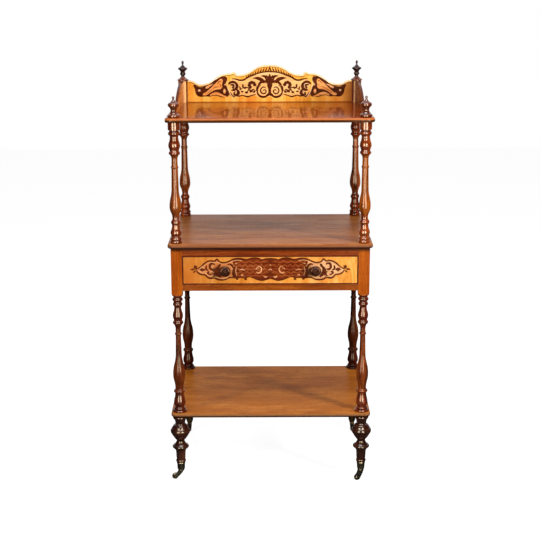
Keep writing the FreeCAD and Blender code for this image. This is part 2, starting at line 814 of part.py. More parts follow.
# Nodes
top_dowels = dowels(glue_clearance, back_dowel_places() + side_dowel_places(-1) + side_dowel_places(1))
nodes = {
    "bottom_shelf": shelf(foot_rise, foot_tenon_radius),
    "middle_shelf": shelf(middle_shelf_base, post_foot_tenon_radius),
    "top_shelf": shelf(top_shelf_base, post_head_tenon_radius).cut(top_dowels),
    "gallery_back": back_board(),
    "gallery_dowels": Part.makeCompound(
        dowels(0, back_dowel_places() + side_dowel_places(-1) + side_dowel_places(1))),
    "drawer_stops": stops(),
    "drawer_front": drawer_front(),
    "drawer_cockbead": cockbead(),
    "drawer_back": drawer_back(),
    "drawer_bottom": drawer_bottom(),
}
nodes.update(case_boards())
for side_name, sign in sides.items():
    nodes[f"gallery_side_{side_name}"] = side_board(sign)
    nodes[f"gallery_post_{side_name}"] = gallery_post(sign * post_x, rear_axis)
    nodes[f"finial_front_{side_name}"] = front_finial(sign * post_x, front_axis)
    nodes[f"finial_rear_{side_name}"] = rear_finial(sign * post_x, rear_axis)
    nodes[f"drawer_runner_{side_name}"] = runner(sign)
    nodes[f"drawer_kicker_{side_name}"] = kicker(sign)
    nodes[f"drawer_side_{side_name}"] = drawer_side(sign)
    nodes[f"drawer_knob_{side_name}"] = knob(sign * knob_spacing / 2)
for corner, (x, y) in corners.items():
    nodes[f"foot_{corner}"] = foot(x, y)
    nodes[f"lower_post_{corner}"] = lower_post(x, y)
    nodes[f"upper_post_{corner}"] = upper_post(x, y)
    nodes[f"castor_cup_{corner}"] = placed(castor_cup(), corner)
    nodes[f"castor_horn_{corner}"] = placed(castor_horn(), corner)
    nodes[f"castor_wheel_{corner}"] = placed(castor_wheel(), corner)
    nodes[f"castor_axle_{corner}"] = placed(castor_axle(), corner)

os.makedirs("parts", exist_ok=True)
for name, shape in nodes.items():
    shape.exportStep(f"parts/{name}.step")
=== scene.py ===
import bmesh
import bpy
import math
from mathutils import Color, Matrix, Vector


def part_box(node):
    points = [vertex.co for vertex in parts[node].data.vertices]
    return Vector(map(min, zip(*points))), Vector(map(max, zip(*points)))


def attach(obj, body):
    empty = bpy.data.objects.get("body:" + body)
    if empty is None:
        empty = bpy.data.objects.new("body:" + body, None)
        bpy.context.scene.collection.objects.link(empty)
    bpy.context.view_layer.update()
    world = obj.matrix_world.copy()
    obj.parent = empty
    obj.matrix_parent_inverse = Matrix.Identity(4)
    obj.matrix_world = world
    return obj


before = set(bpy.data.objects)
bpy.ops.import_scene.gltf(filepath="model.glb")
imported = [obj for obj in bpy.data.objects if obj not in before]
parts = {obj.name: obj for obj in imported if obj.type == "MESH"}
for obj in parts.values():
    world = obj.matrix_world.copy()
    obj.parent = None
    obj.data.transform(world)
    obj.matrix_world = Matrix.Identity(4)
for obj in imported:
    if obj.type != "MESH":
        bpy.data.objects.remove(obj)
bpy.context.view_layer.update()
scene = bpy.context.scene
print("frame loaded:", len(parts), "parts")


# camera, floor, world and lamps
view = dict(lens=81.463, sensor=36, place=(-0.001, -3.73119, 1.5357), pitch=0.24149, roll=-0.0032)
studio = dict(ambient=0.27, floorSize=14, floorColour=0.3, floorGlow=0.89)
lamps = {
    # name: (place, aim, width, height, watts, what it lights)
    "softbox_left": ((-1, -2.3, 0.75), (0, 0, 0.75), 1, 2, 92, "gloss"),
    "softbox_right": ((0.9, -2.35, 0.75), (0, 0, 0.75), 0.9, 2, 104, "gloss"),
    "panel_left": ((-1.9, -1.7, 1.35), (0, 0, 0.75), 0.4, 0.5, 25, "colour"),
    "panel_right": ((1.85, -1.7, 1.45), (0.2, 0, 0.75), 0.3, 0.35, 56, "colour"),
    "panel_behind": ((-0.6, 2.4, 1.5), (0, 0, 0.7), 1.2, 1.4, 16, "colour"),
    "panel_above": ((0, -0.9, 2.7), (0, 0, 0.6), 1.6, 1, 36, "both"),
}
warmth = (1, 0.8, 0.54)  # of the lamps that light gloss alone
# dark cloth round the camera's side, seen only in polish: it keeps the dark timber dark
cloth = dict(radius=6.5, bottom=0.004, top=11, arc=262, colour=0.02, sides=48, steps=32)


def addObject(name, data):
    made = bpy.data.objects.new(name, data)
    scene.collection.objects.link(made)
    return made


def keepMesh(name, shape):
    mesh = bpy.data.meshes.new(name)
    shape.to_mesh(mesh)
    shape.free()
    return mesh


def newMaterial(name):
    made = bpy.data.materials.new(name)
    made.use_nodes = True
    return made, made.node_tree


def addNode(tree, kind, inputs=None, **settings):
    # an input is given a value or a socket
    made = tree.nodes.new("ShaderNode" + kind)
    for name, value in settings.items():
        setattr(made, name, value)
    for label, value in (inputs or {}).items():
        if isinstance(value, bpy.types.NodeSocket):
            tree.links.new(value, made.inputs[label])
        else:
            made.inputs[label].default_value = value
    return made


def mathNode(tree, operation, first, second=0, clamp=False):
    made = addNode(tree, "Math", {0: first, 1: second}, operation=operation, use_clamp=clamp)
    return made.outputs[0]


def times(tree, first, second, clamp=False):
    return mathNode(tree, "MULTIPLY", first, second, clamp)


def seenRay(tree):
    # 1 for camera, glossy and transmission rays, so that polish and brass show the same background
    path = addNode(tree, "LightPath")
    seen = mathNode(tree, "ADD", path.outputs["Is Camera Ray"], path.outputs["Is Glossy Ray"])
    return mathNode(tree, "ADD", seen, path.outputs["Is Transmission Ray"], clamp=True)


def addCamera():
    data = bpy.data.cameras.new("camera")
    data.lens = view["lens"]
    data.sensor_width = view["sensor"]
    camera = addObject("camera", data)
    turn = Matrix.Rotation(math.pi / 2 - view["pitch"], 4, "X") @ Matrix.Rotation(view["roll"], 4, "Z")
    camera.matrix_world = Matrix.Translation(view["place"]) @ turn
    scene.camera = camera


def addWorld():
    world = bpy.data.worlds.new("studio")
    world.use_nodes = True
    tree = world.node_tree
    background = tree.nodes["Background"]
    background.inputs["Color"].default_value = (1, 1, 1, 1)
    extra = times(tree, seenRay(tree), 1 - studio["ambient"])
    tree.links.new(mathNode(tree, "ADD", extra, studio["ambient"]), background.inputs["Strength"])
    scene.world = world


def addFloor():
    shape = bmesh.new()
    bmesh.ops.create_grid(shape, x_segments=1, y_segments=1, size=studio["floorSize"] / 2)
    floor = addObject("floor", keepMesh("floor", shape))
    paper, tree = newMaterial("floorPaper")
    tree.nodes.clear()
    level = studio["floorColour"]
    matte = addNode(tree, "BsdfDiffuse", {"Color": (level, level, level, 1)})
    strength = times(tree, seenRay(tree), studio["floorGlow"])
    glow = addNode(tree, "Emission", {"Color": (1, 1, 1, 1), "Strength": strength})
    both = addNode(tree, "AddShader", {0: matte.outputs[0], 1: glow.outputs[0]})
    addNode(tree, "OutputMaterial", {"Surface": both.outputs[0]})
    floor.data.materials.append(paper)


def addLamps():
    for name, (place, aim, width, height, watts, use) in lamps.items():
        data = bpy.data.lights.new(name, "AREA")
        data.shape = "RECTANGLE"
        data.size, data.size_y = width, height
        data.energy = watts
        data.color = warmth if use == "gloss" else (1, 1, 1)
        lamp = addObject(name, data)
        lamp.location = place
        lamp.rotation_euler = (Vector(aim) - Vector(place)).to_track_quat("-Z", "Y").to_euler()
        lamp.visible_camera = False
        lamp.visible_diffuse = use != "gloss"
        lamp.visible_glossy = use != "colour"


def addCloth():
    # a disc just above the floor, with a wall that stands round the object's front and sides
    radius, bottom, arc = cloth["radius"], cloth["bottom"], math.radians(cloth["arc"])
    sides, steps = cloth["sides"], cloth["steps"]
    shape = bmesh.new()
    raised = Matrix.Translation((0, 0, bottom))
    bmesh.ops.create_circle(shape, cap_ends=True, radius=radius, segments=sides, matrix=raised)
    line = [shape.verts.new((radius, 0, height)) for height in (bottom, cloth["top"])]
    wall = line + [shape.edges.new(line)]
    bmesh.ops.rotate(shape, verts=line, matrix=Matrix.Rotation(-math.pi / 2 - arc / 2, 3, "Z"))
    bmesh.ops.spin(shape, geom=wall, axis=(0, 0, 1), angle=arc, steps=steps, use_merge=False)
    hung = addObject("dark_cloth", keepMesh("dark_cloth", shape))
    felt, tree = newMaterial("darkFelt")
    shader = tree.nodes["Principled BSDF"]
    shader.inputs["Base Color"].default_value = (cloth["colour"],) * 3 + (1,)
    shader.inputs["Roughness"].default_value = 1
    hung.data.materials.append(felt)
    hung.visible_camera = hung.visible_diffuse = hung.visible_shadow = hung.visible_transmission = False


scene.view_settings.view_transform = "Standard"
addCamera()
addWorld()
addFloor()
addLamps()
addCloth()
print("camera, floor and lamps set")


# shared effects; a noise is its scale, detail, roughness and distortion
figureLook = dict(
    driftStretch=(5, 14, 14), drift=(1, 2, 0.5), push=2.4,
    figureStretch=(2, 26, 26), figure=(1, 5, 0.6, 0.3),
    streakStretch=(7, 190, 190), streaks=(1, 4, 0.65),
    poreStretch=(60, 900, 900), pores=(1, 2, 0.5), poreLevels=(0.36, 0.46))
edgeLook = dict(samples=4, gain=5, spots=(38, 3, 0.6), spotLevels=(0.35, 0.7), least=0.25)
recessLook = dict(samples=6, levels=(0.35, 0.85))
polishLook = dict(clouds=(9, 4, 0.6), marks=(420, 2, 0.5), cloudShare=0.8, levels=(0.3, 0.7))


def vectorNode(tree, operation, first, second):
    label = "Scale" if operation == "SCALE" else 1
    return addNode(tree, "VectorMath", {0: first, label: second}, operation=operation).outputs


def axis(tree, vector, letter):
    return addNode(tree, "SeparateXYZ", {0: vector}).outputs[letter]


def fade(tree, value, start=0, stop=1, low=0, high=1, **settings):
    # low at start, high at stop
    inputs = {"Value": value, "From Min": start, "From Max": stop, "To Min": low, "To Max": high}
    return addNode(tree, "MapRange", inputs, **settings).outputs["Result"]


def noise(tree, vector, scale, detail, roughness, distortion=0):
    inputs = {"Scale": scale, "Detail": detail, "Roughness": roughness, "Distortion": distortion}
    return addNode(tree, "TexNoise", {"Vector": vector, **inputs}).outputs


def newGroup(name, inputs, outputs):
    # every material that uses a group gives all of its inputs
    group = bpy.data.node_groups.new(name, "ShaderNodeTree")
    for way, labels in (("INPUT", inputs), ("OUTPUT", outputs)):
        for label in labels:
            kind = "NodeSocketVector" if label == "Vector" else "NodeSocketFloat"
            group.interface.new_socket(name=label, in_out=way, socket_type=kind)
    entry = group.nodes.new("NodeGroupInput")
    leave = group.nodes.new("NodeGroupOutput")
    return group, entry.outputs, leave.inputs


def useGroup(tree, group, inputs):
    return addNode(tree, "Group", inputs, node_tree=group).outputs


def timberGroup():
    # grain along X: broad figure, fine streaks and short dark pores
    inputs, outputs = ("Vector", "Figure Scale", "Waviness"), ("Figure", "Streaks", "Pores")
    group, entry, leave = newGroup("timberFigure", inputs, outputs)
    look = figureLook

    def stretched(factors, scale=1):
        longer = vectorNode(group, "MULTIPLY", entry["Vector"], factors)["Vector"]
        return vectorNode(group, "SCALE", longer, scale)["Vector"]

    drift = noise(group, stretched(look["driftStretch"]), *look["drift"])["Color"]
    centred = vectorNode(group, "SUBTRACT", drift, (0.5, 0.5, 0.5))["Vector"]
    push = times(group, entry["Waviness"], look["push"])
    pushed = vectorNode(group, "SCALE", centred, push)["Vector"]
    broad = stretched(look["figureStretch"], entry["Figure Scale"])
    broad = vectorNode(group, "ADD", broad, pushed)["Vector"]
    fine = stretched(look["streakStretch"], entry["Figure Scale"])
    pores = noise(group, stretched(look["poreStretch"]), *look["pores"])["Fac"]
    group.links.new(noise(group, broad, *look["figure"])["Fac"], leave["Figure"])
    group.links.new(noise(group, fine, *look["streaks"])["Fac"], leave["Streaks"])
    group.links.new(fade(group, pores, *look["poreLevels"], 1, 0), leave["Pores"])
    return group


def edgeGroup():
    # where an edge is rubbed through: turned normal against the face's own, broken up by noise
    group, entry, leave = newGroup("edgeWear", ("Vector", "Width", "Amount"), ("Mask",))
    rounded = addNode(group, "Bevel", {"Radius": entry["Width"]}, samples=edgeLook["samples"])
    own = addNode(group, "NewGeometry")
    alike = vectorNode(group, "DOT_PRODUCT", rounded.outputs["Normal"], own.outputs["Normal"])["Value"]
    bent = mathNode(group, "SUBTRACT", 1, alike, clamp=True)
    edge = times(group, bent, edgeLook["gain"], clamp=True)
    spots = noise(group, entry["Vector"], *edgeLook["spots"])["Fac"]
    worn = times(group, edge, fade(group, spots, *edgeLook["spotLevels"], edgeLook["least"]))
    group.links.new(times(group, worn, entry["Amount"], clamp=True), leave["Mask"])
    return group


def recessGroup():
    # darker hollows of a part from ambient occlusion: old polish and dust in them, and painted shade
    group, entry, leave = newGroup("recessDarkening", ("Reach", "Amount"), ("Mask",))
    hollow = addNode(group, "AmbientOcclusion", {"Distance": entry["Reach"]},
                     samples=recessLook["samples"], only_local=True)
    depth = fade(group, hollow.outputs["AO"], *recessLook["levels"], 1, 0)
    group.links.new(times(group, depth, entry["Amount"], clamp=True), leave["Mask"])
    return group


def polishGroup():
    # uneven hand polish: a cloudy change of gloss with fine rubbing marks
    group, entry, leave = newGroup("handPolish", ("Vector", "Low", "High"), ("Roughness", "Height"))
    share = polishLook["cloudShare"]
    clouds = times(group, noise(group, entry["Vector"], *polishLook["clouds"])["Fac"], share)
    marks = times(group, noise(group, entry["Vector"], *polishLook["marks"])["Fac"], 1 - share)
    both = mathNode(group, "ADD", clouds, marks)
    rough = fade(group, both, *polishLook["levels"], entry["Low"], entry["High"])
    group.links.new(rough, leave["Roughness"])
    group.links.new(both, leave["Height"])
    return group


timber = timberGroup()
edges = edgeGroup()
recesses = recessGroup()
polish = polishGroup()
print("shared effects built")


# painted shadow of each knob, cast to its lower left on the drawer front
knobShadow = dict(reach=0.027, core=0.35, amount=0.9, tone=(56, 12, 4))
grainTurns = {"x": (0, 0, 0), "y": (0, 0, math.pi / 2), "z": (0, math.pi / 2, 0)}


def tone(red, green, blue):
    # a colour as the eye reads it on a screen, 0 to 255, made linear
    return (*Color((red / 255, green / 255, blue / 255)).from_srgb_to_scene_linear(), 1)


def mixColour(tree, factor, first, second, blend="MIX"):
    # the colour sockets of this node are found by number: factor 0, colours 6 and 7, result 2
    made = addNode(tree, "Mix", {0: factor, 6: first, 7: second},
                   data_type="RGBA", blend_type=blend, clamp_factor=True)
    return made.outputs[2]


def tint(tree, amount, colour, aim):
    return mixColour(tree, amount, colour, tone(*aim))


def ramp(tree, factor, places, tones):
    made = addNode(tree, "ValToRGB", {"Fac": factor})
    stops = made.color_ramp.elements
    stops[0].position, stops[0].color = places[0], tone(*tones[0])
    stops[1].position, stops[1].color = places[-1], tone(*tones[-1])
    for place, colour in zip(places[1:-1], tones[1:-1]):
        stops.new(place).color = tone(*colour)
    return made.outputs["Color"]


def facing(tree, letter):
    # how far the surface faces along an axis, -1 to 1
    return axis(tree, addNode(tree, "TexCoord").outputs["Normal"], letter)


def startMaterial(name, look):
    made, tree = newMaterial(name)
    shader = tree.nodes["Principled BSDF"]
    for label, value in {"Specular IOR Level": look["shine"], **look["sockets"]}.items():
        shader.inputs[label].default_value = value
    return made, tree, shader, addNode(tree, "TexCoord").outputs["Object"]


def wearDirtAndShade(tree, place, colour, look):
    # rubbed edges, and hollows darkened by dirt and painted shade; returns the colour, and the hollows
    worn = useGroup(tree, edges, {"Vector": place, "Width": look["edgeWidth"], "Amount": look["wear"]})
    hollow = useGroup(tree, recesses, {"Reach": look["reach"], "Amount": look["recess"]})
    colour = tint(tree, worn["Mask"], colour, look["worn"])
    return tint(tree, hollow["Mask"], colour, look["dark"]), hollow["Mask"]


def finished(tree, shader, place, look, colour, dull, pores=0, relief=None):
    # hand polish, rougher where dull is, and a bump: the given relief, or the rubbing marks less the pores
    low, high = look["gloss"]
    rub = useGroup(tree, polish, {"Vector": place, "Low": low, "High": high})
    rough = mathNode(tree, "ADD", rub["Roughness"], times(tree, dull, look["dulling"]))
    if relief is None:
        relief = mathNode(tree, "SUBTRACT", times(tree, rub["Height"], look["rubbing"]), pores)
    strength, depth = look["bump"]
    bump = addNode(tree, "Bump", {"Height": relief, "Strength": strength, "Distance": depth})
    tree.links.new(colour, shader.inputs["Base Color"])
    tree.links.new(rough, shader.inputs["Roughness"])
    tree.links.new(bump.outputs["Normal"], shader.inputs["Normal"])


def fadeTo(tree, along, colour, start, stop, amount, aim):
    # turns to another tone from start to stop, by at most the amount
    return tint(tree, fade(tree, along, start, stop, high=amount), colour, aim)


def knobShadowed(tree, place, colour, across, height):
    # painted shadow: a soft dark spot at the given place beside a knob
    flat = vectorNode(tree, "MULTIPLY", place, (1, 0, 1))["Vector"]
    away = vectorNode(tree, "DISTANCE", flat, (across, 0, height))["Value"]
    near = fade(tree, away, knobShadow["reach"], knobShadow["core"] * knobShadow["reach"], high=knobShadow["amount"],
                interpolation_type="SMOOTHSTEP")
    return tint(tree, near, colour, knobShadow["tone"])


def turnedEnds(tree, place, wood):
    # 1 on the beads above and below the shaft, 0 along it
    low, high, blend = wood["shaft"]
    height = axis(tree, place, "Z")
    below = fade(tree, height, low, low - blend)
    return mathNode(tree, "ADD", below, fade(tree, height, high, high + blend), clamp=True)


def turnedShine(tree, place, wood):
    # the beads are better polished than the shaft
    return fade(tree, turnedEnds(tree, place, wood), low=wood["shaftShine"], high=wood["shine"])


def timberColour(tree, place, wood):
    # returns the wood's colour, and its pores for the bump
    turned = {"Vector": place, "Rotation": grainTurns[wood["grain"]], "Location": wood["start"]}
    grain = addNode(tree, "Mapping", turned).outputs["Vector"]
    inputs = {"Vector": grain, "Figure Scale": wood["figure"], "Waviness": wood["waviness"]}
    figure = useGroup(tree, timber, inputs)
    colour = ramp(tree, figure["Figure"], wood["stops"], wood["tones"])
    lines = mathNode(tree, "SUBTRACT", wood["streakLevel"], figure["Streaks"], clamp=True)
    colour = tint(tree, times(tree, lines, wood["streaks"], clamp=True), colour, wood["tones"][0])
    pores = times(tree, figure["Pores"], wood["poreDepth"])
    colour = tint(tree, pores, colour, wood["dark"])
    if "ends" in wood:
        # darker towards both ends of the board
        out = mathNode(tree, "ABSOLUTE", axis(tree, place, "X"))
        colour = fadeTo(tree, out, colour, *wood["ends"], wood["tones"][0])
    if "drift" in wood:
        # painted light: the tone shifts across the board, paler on the side the light falls on
        colour = fadeTo(tree, axis(tree, place, "X"), colour, *wood["drift"])
    # painted shadows beside each knob
    for across, height in wood["knobs"]:
        colour = knobShadowed(tree, place, colour, across, height)
    if "shaft" in wood:
        # the beads above and below the shaft are darker and redder
        amount = times(tree, turnedEnds(tree, place, wood), wood["beadAmount"])
        colour = mixColour(tree, amount, colour, tone(*wood["beads"]), "MULTIPLY")
    return colour, pores


def finishTimber(tree, shader, place, colour, pores, wood):
    # wear on the edges, hollows darkened by dirt and painted shade, hand polish and a fine bump
    colour, hollow = wearDirtAndShade(tree, place, colour, wood)
    if "topTone" in wood:
        colour = fadeTo(tree, facing(tree, "Z"), colour, *wood["topFacing"], wood["topTone"])
    if "edgeShadeTone" in wood:
        # painted shade: the moulded edge is darker than the top by the way it faces, with a painted shadow,
        # nearly black, below the given level
        colour = fadeTo(tree, facing(tree, "Z"), colour, *wood["edgeShadeFacing"], wood["edgeShadeTone"])
        level, (blend, amount) = wood["shadowBelow"], wood["underShadow"]
        height = axis(tree, place, "Z")
        colour = fadeTo(tree, height, colour, level + blend, level - blend, amount, wood["dark"])
    # painted shadow under the overhang of the shelf above
    if "shelfShadow" in wood:
        colour = fadeTo(tree, axis(tree, place, "Z"), colour, *wood["shelfShadow"], wood["dark"])
    finished(tree, shader, place, wood, colour, hollow, pores)


def timberMaterial(name, wood):
    made, tree, shader, place = startMaterial(name, wood)
    colour, pores = timberColour(tree, place, wood)
    finishTimber(tree, shader, place, colour, pores, wood)
    if "shaft" in wood:
        tree.links.new(turnedShine(tree, place, wood), shader.inputs["Specular IOR Level"])
    return made


# plain timbers: tones run dark, middle, light, and "dark" is the tone of pores, of hollows darkened by dirt
# and painted shade, and of painted shadows below shelves;
# gloss is the range of roughness, shine the specular level, reach and recess the hollows' width and strength
plain = dict(
    grain="x", start=(0, 0, 0), figure=1, waviness=1, stops=(0.3, 0.5, 0.7), streaks=2.6, streakLevel=0.62,
    poreDepth=0.5, knobs=(), wear=0.5, edgeWidth=0.0012, reach=0.012, recess=0.2, dulling=0.2, rubbing=0.35,
    bump=(0.12, 0.0004), shine=0.3, sockets={})
shelves = dict(
    plain, figure=0.9, waviness=1.1, recess=0, edgeShadeFacing=(0.9, 0.45, 0.85), underShadow=(0.001, 0.94))
rails = dict(plain, figure=1.3, waviness=0.5, gloss=(0.2, 0.3))
turned = dict(plain, grain="z", figure=1.6, waviness=0.6, wear=0.45)
posts = dict(turned, reach=0.018, recess=1, beads=(204, 150, 150), beadAmount=0.8)
upperPosts = dict(posts, shaft=(0.842, 0.998, 0.02), shaftShine=0.42)
finials = dict(turned, figure=1.8, waviness=0.5)
gallerySides = dict(
    plain, grain="y", figure=1.1, topTone=(84, 34, 14), topFacing=(0.25, 0.4, 1), dark=(40, 16, 8),
    worn=(226, 160, 96), gloss=(0.16, 0.28), wear=0.6, recess=0.1, shine=0.03)
pine = dict(
    plain, figure=1.3, waviness=0.5, tones=((166, 116, 66), (204, 158, 104), (222, 184, 130)),
    dark=(140, 92, 48), worn=(220, 190, 140), gloss=(0.55, 0.7), wear=0.2, recess=0.3)
underShelfShadow = (0.7235, 0.7315, 0.85)  # where the painted shadow below the middle shelf starts and ends, and its amount
woods = dict(
    walnutTopShelf=dict(
        shelves, ends=(0.06, 0.22, 0.7), edgeShadeTone=(180, 106, 52), shadowBelow=1.1143, shine=0.14,
        tones=((118, 38, 0), (184, 82, 1), (212, 108, 8)), dark=(60, 22, 3), worn=(206, 140, 84),
        gloss=(0.06, 0.12)),
    walnutMiddleShelf=dict(
        shelves, start=(0.4, 0.2, 0), edgeShadeTone=(126, 72, 44), shadowBelow=0.7405, shine=0.06,
        tones=((128, 66, 26), (168, 98, 42), (192, 124, 64)), dark=(56, 28, 18), worn=(192, 134, 96),
        gloss=(0.3, 0.42)),
    walnutBottomShelf=dict(
        shelves, start=(0.9, 0.5, 0), edgeShadeTone=(138, 94, 60), shadowBelow=0.2138, shine=0.02,
        tones=((142, 76, 20), (174, 100, 32), (196, 122, 48)), dark=(50, 24, 12), worn=(176, 110, 70),
        figure=0.7, streaks=1.3, gloss=(0.28, 0.4)),
    walnutUpperPost=dict(
        upperPosts, tones=((60, 17, 2), (140, 62, 11), (206, 114, 32)), dark=(30, 8, 2), worn=(196, 128, 84),
        gloss=(0.14, 0.22), shine=0.9),
    walnutUpperPostRear=dict(
        upperPosts, tones=((54, 17, 3), (152, 68, 19), (220, 122, 46)), dark=(22, 6, 2), worn=(180, 112, 72),
        gloss=(0.2, 0.3), recess=0.9, shine=0.4),
    walnutFoot=dict(
        turned, tones=((22, 8, 4), (60, 27, 17), (104, 54, 36)), dark=(8, 2, 1), worn=(96, 46, 28),
        gloss=(0.12, 0.2), wear=0.4, recess=0.75, shine=0.6),
    walnutTopRail=dict(
        rails, shelfShadow=underShelfShadow, tones=((108, 40, 10), (146, 62, 18), (170, 84, 28)), dark=(48, 16, 7),
        worn=(186, 104, 52), shine=0.03),
    walnutBottomRail=dict(
        rails, tones=((118, 48, 8), (152, 74, 16), (184, 98, 28)), dark=(60, 24, 8), worn=(208, 122, 58),
        shine=0.05),
    walnutCaseSide=dict(
        plain, grain="y", figure=0.9, tones=((96, 42, 16), (136, 68, 28), (168, 94, 42)), dark=(48, 20, 8),
        worn=(190, 116, 62), gloss=(0.22, 0.34), wear=0.4),
    walnutCaseBack=dict(
        plain, figure=0.8, waviness=1.2, tones=((84, 40, 20), (120, 66, 34), (148, 88, 50)),
        dark=(44, 20, 10), worn=(170, 106, 64), gloss=(0.4, 0.55), wear=0.3),
    # painted light and shade: the left side's inner face, turned to the light, gets lit tones; the right
    # side's, turned away, gets shaded tones
    walnutGallerySideLitLeft=dict(gallerySides, tones=((150, 72, 26), (204, 118, 54), (232, 154, 84))),
    walnutGallerySideShadedRight=dict(gallerySides, tones=((84, 34, 18), (122, 60, 38), (152, 86, 54))),
    walnutFinial=dict(
        finials, tones=((52, 17, 5), (106, 44, 17), (158, 82, 38)), dark=(16, 6, 4), worn=(150, 92, 58),
        gloss=(0.12, 0.2), recess=0.95, shine=0.9),
    walnutFinialRear=dict(
        finials, tones=((24, 9, 9), (52, 24, 22), (88, 48, 42)), dark=(14, 6, 6), worn=(128, 84, 74),
        gloss=(0.18, 0.28), recess=0.8, shine=0.4),
    darkBead=dict(
        plain, figure=1.6, waviness=0.3, tones=((56, 10, 2), (86, 21, 6), (112, 36, 12)), dark=(24, 8, 5),
        worn=(140, 74, 42), gloss=(0.2, 0.3), wear=0.3, recess=0.3, shine=0.12),
    pineLining=dict(pine, grain="y"),
    pineLiningAcross=pine,
    ebonisedKnob=dict(
        plain, grain="y", figure=2, waviness=0.3, tones=((26, 7, 3), (40, 12, 6), (58, 20, 11)),
        dark=(10, 4, 3), worn=(158, 96, 72), gloss=(0.07, 0.12), wear=0.6, recess=0.9, shine=0.75,
        sockets={"Specular Tint": (1, 0.58, 0.45, 1)}),
)
# painted light: the posts on the right are given lighter tones, as lit from the right
woods["walnutUpperPostLitRight"] = dict(
    woods["walnutUpperPost"], tones=((66, 20, 2), (178, 88, 16), (242, 152, 50)))
finishes = {name: timberMaterial(name, wood) for name, wood in woods.items()}


# the lower posts change tone at the square block
lowerPost = dict(
    posts, shaft=(0.296, 0.476, 0.02), shaftShine=0.26, shelfShadow=underShelfShadow,
    tones=((50, 15, 4), (112, 46, 13), (166, 84, 30)), dark=(22, 6, 2), worn=(170, 104, 68),
    gloss=(0.15, 0.24), shine=0.6)
lowerPosts = dict(
    walnutLowerPost=lowerPost,
    # painted light: lighter tones for the front right lower post, lit from the right
    walnutLowerPostLitRight=dict(lowerPost, tones=((60, 19, 5), (134, 58, 17), (192, 100, 36))),
    # painted shade: darker tones for the rear lower posts, which stand in shade
    walnutLowerPostShadedRear=dict(
        lowerPost, tones=((24, 7, 3), (68, 24, 8), (120, 54, 20)), dark=(10, 3, 1), shaftShine=0.1,
        shine=0.16),
)
block = dict(
    plain, grain="z", figure=1.2, waviness=0.5, tones=((138, 58, 8), (180, 86, 15), (210, 112, 29)),
    dark=(80, 30, 4), shine=0.02, base=0.5885, blend=0.004)


def lowerPostMaterial(name, wood):
    made, tree, shader, place = startMaterial(name, wood)
    shaft, pores = timberColour(tree, place, wood)
    square = timberColour(tree, place, block)[0]
    upper = fade(tree, axis(tree, place, "Z"), block["base"], block["base"] + block["blend"])
    shine = fade(tree, upper, low=turnedShine(tree, place, wood), high=block["shine"])
    tree.links.new(shine, shader.inputs["Specular IOR Level"])
    finishTimber(tree, shader, place, mixColour(tree, upper, shaft, square), pores, wood)
    return made


# painted light on the gallery posts: highlight bands down their length, and the left post painted lighter, as
# lit from the right
galleryPost = dict(
    plain, grain="z", figure=1.4, waviness=0.6, tones=((78, 30, 20), (126, 64, 46), (158, 92, 68)),
    dark=(40, 14, 8), worn=(210, 160, 120), gloss=(0.1, 0.18), wear=0.55, recess=0.1,
    shine=0.4, sockets={"Coat Weight": 0.2, "Coat Roughness": 0.1})
highlightBands = dict(
    # (near edge, far edge) from the middle of the gallery, then the share of painted highlight on the left
    # and right
    lines=(
        (0.268, 0.2765, 0.95, 0.16), (0.27, 0.2728, 0, 0.62), (0.2805, 0.285, 0.25, 0),
        (0.28, 0.2828, 0, 0.5)),
    light=(246, 192, 128), left=(200, 112, 50), leftAmount=0.6,
    quirk=0.2675, quirkAmount=0.7, top=1.188, frontFacing=0.2)


def galleryPostMaterial(name):
    made, tree, shader, place = startMaterial(name, galleryPost)
    colour, pores = timberColour(tree, place, galleryPost)
    right = mathNode(tree, "GREATER_THAN", axis(tree, place, "X"), 0)
    across = mathNode(tree, "ABSOLUTE", axis(tree, place, "X"))
    front = mathNode(tree, "LESS_THAN", facing(tree, "Y"), highlightBands["frontFacing"])
    low = times(tree, front, mathNode(tree, "LESS_THAN", axis(tree, place, "Z"), highlightBands["top"]))
    # painted light: the lower front of the left post is lighter
    left = times(tree, mathNode(tree, "SUBTRACT", 1, right), low)
    colour = tint(tree, times(tree, left, highlightBands["leftAmount"]), colour, highlightBands["left"])
    # painted highlights in bands down the post
    for near, far, leftShare, rightShare in highlightBands["lines"]:
        beyond = mathNode(tree, "GREATER_THAN", across, near)
        inside = times(tree, beyond, mathNode(tree, "LESS_THAN", across, far))
        share = fade(tree, right, low=leftShare, high=rightShare)
        colour = tint(tree, times(tree, times(tree, inside, low), share), colour, highlightBands["light"])
    quirk = mathNode(tree, "LESS_THAN", across, highlightBands["quirk"])
    colour = tint(tree, times(tree, quirk, highlightBands["quirkAmount"]), colour, galleryPost["dark"])
    finishTimber(tree, shader, place, colour, pores, galleryPost)
    return made


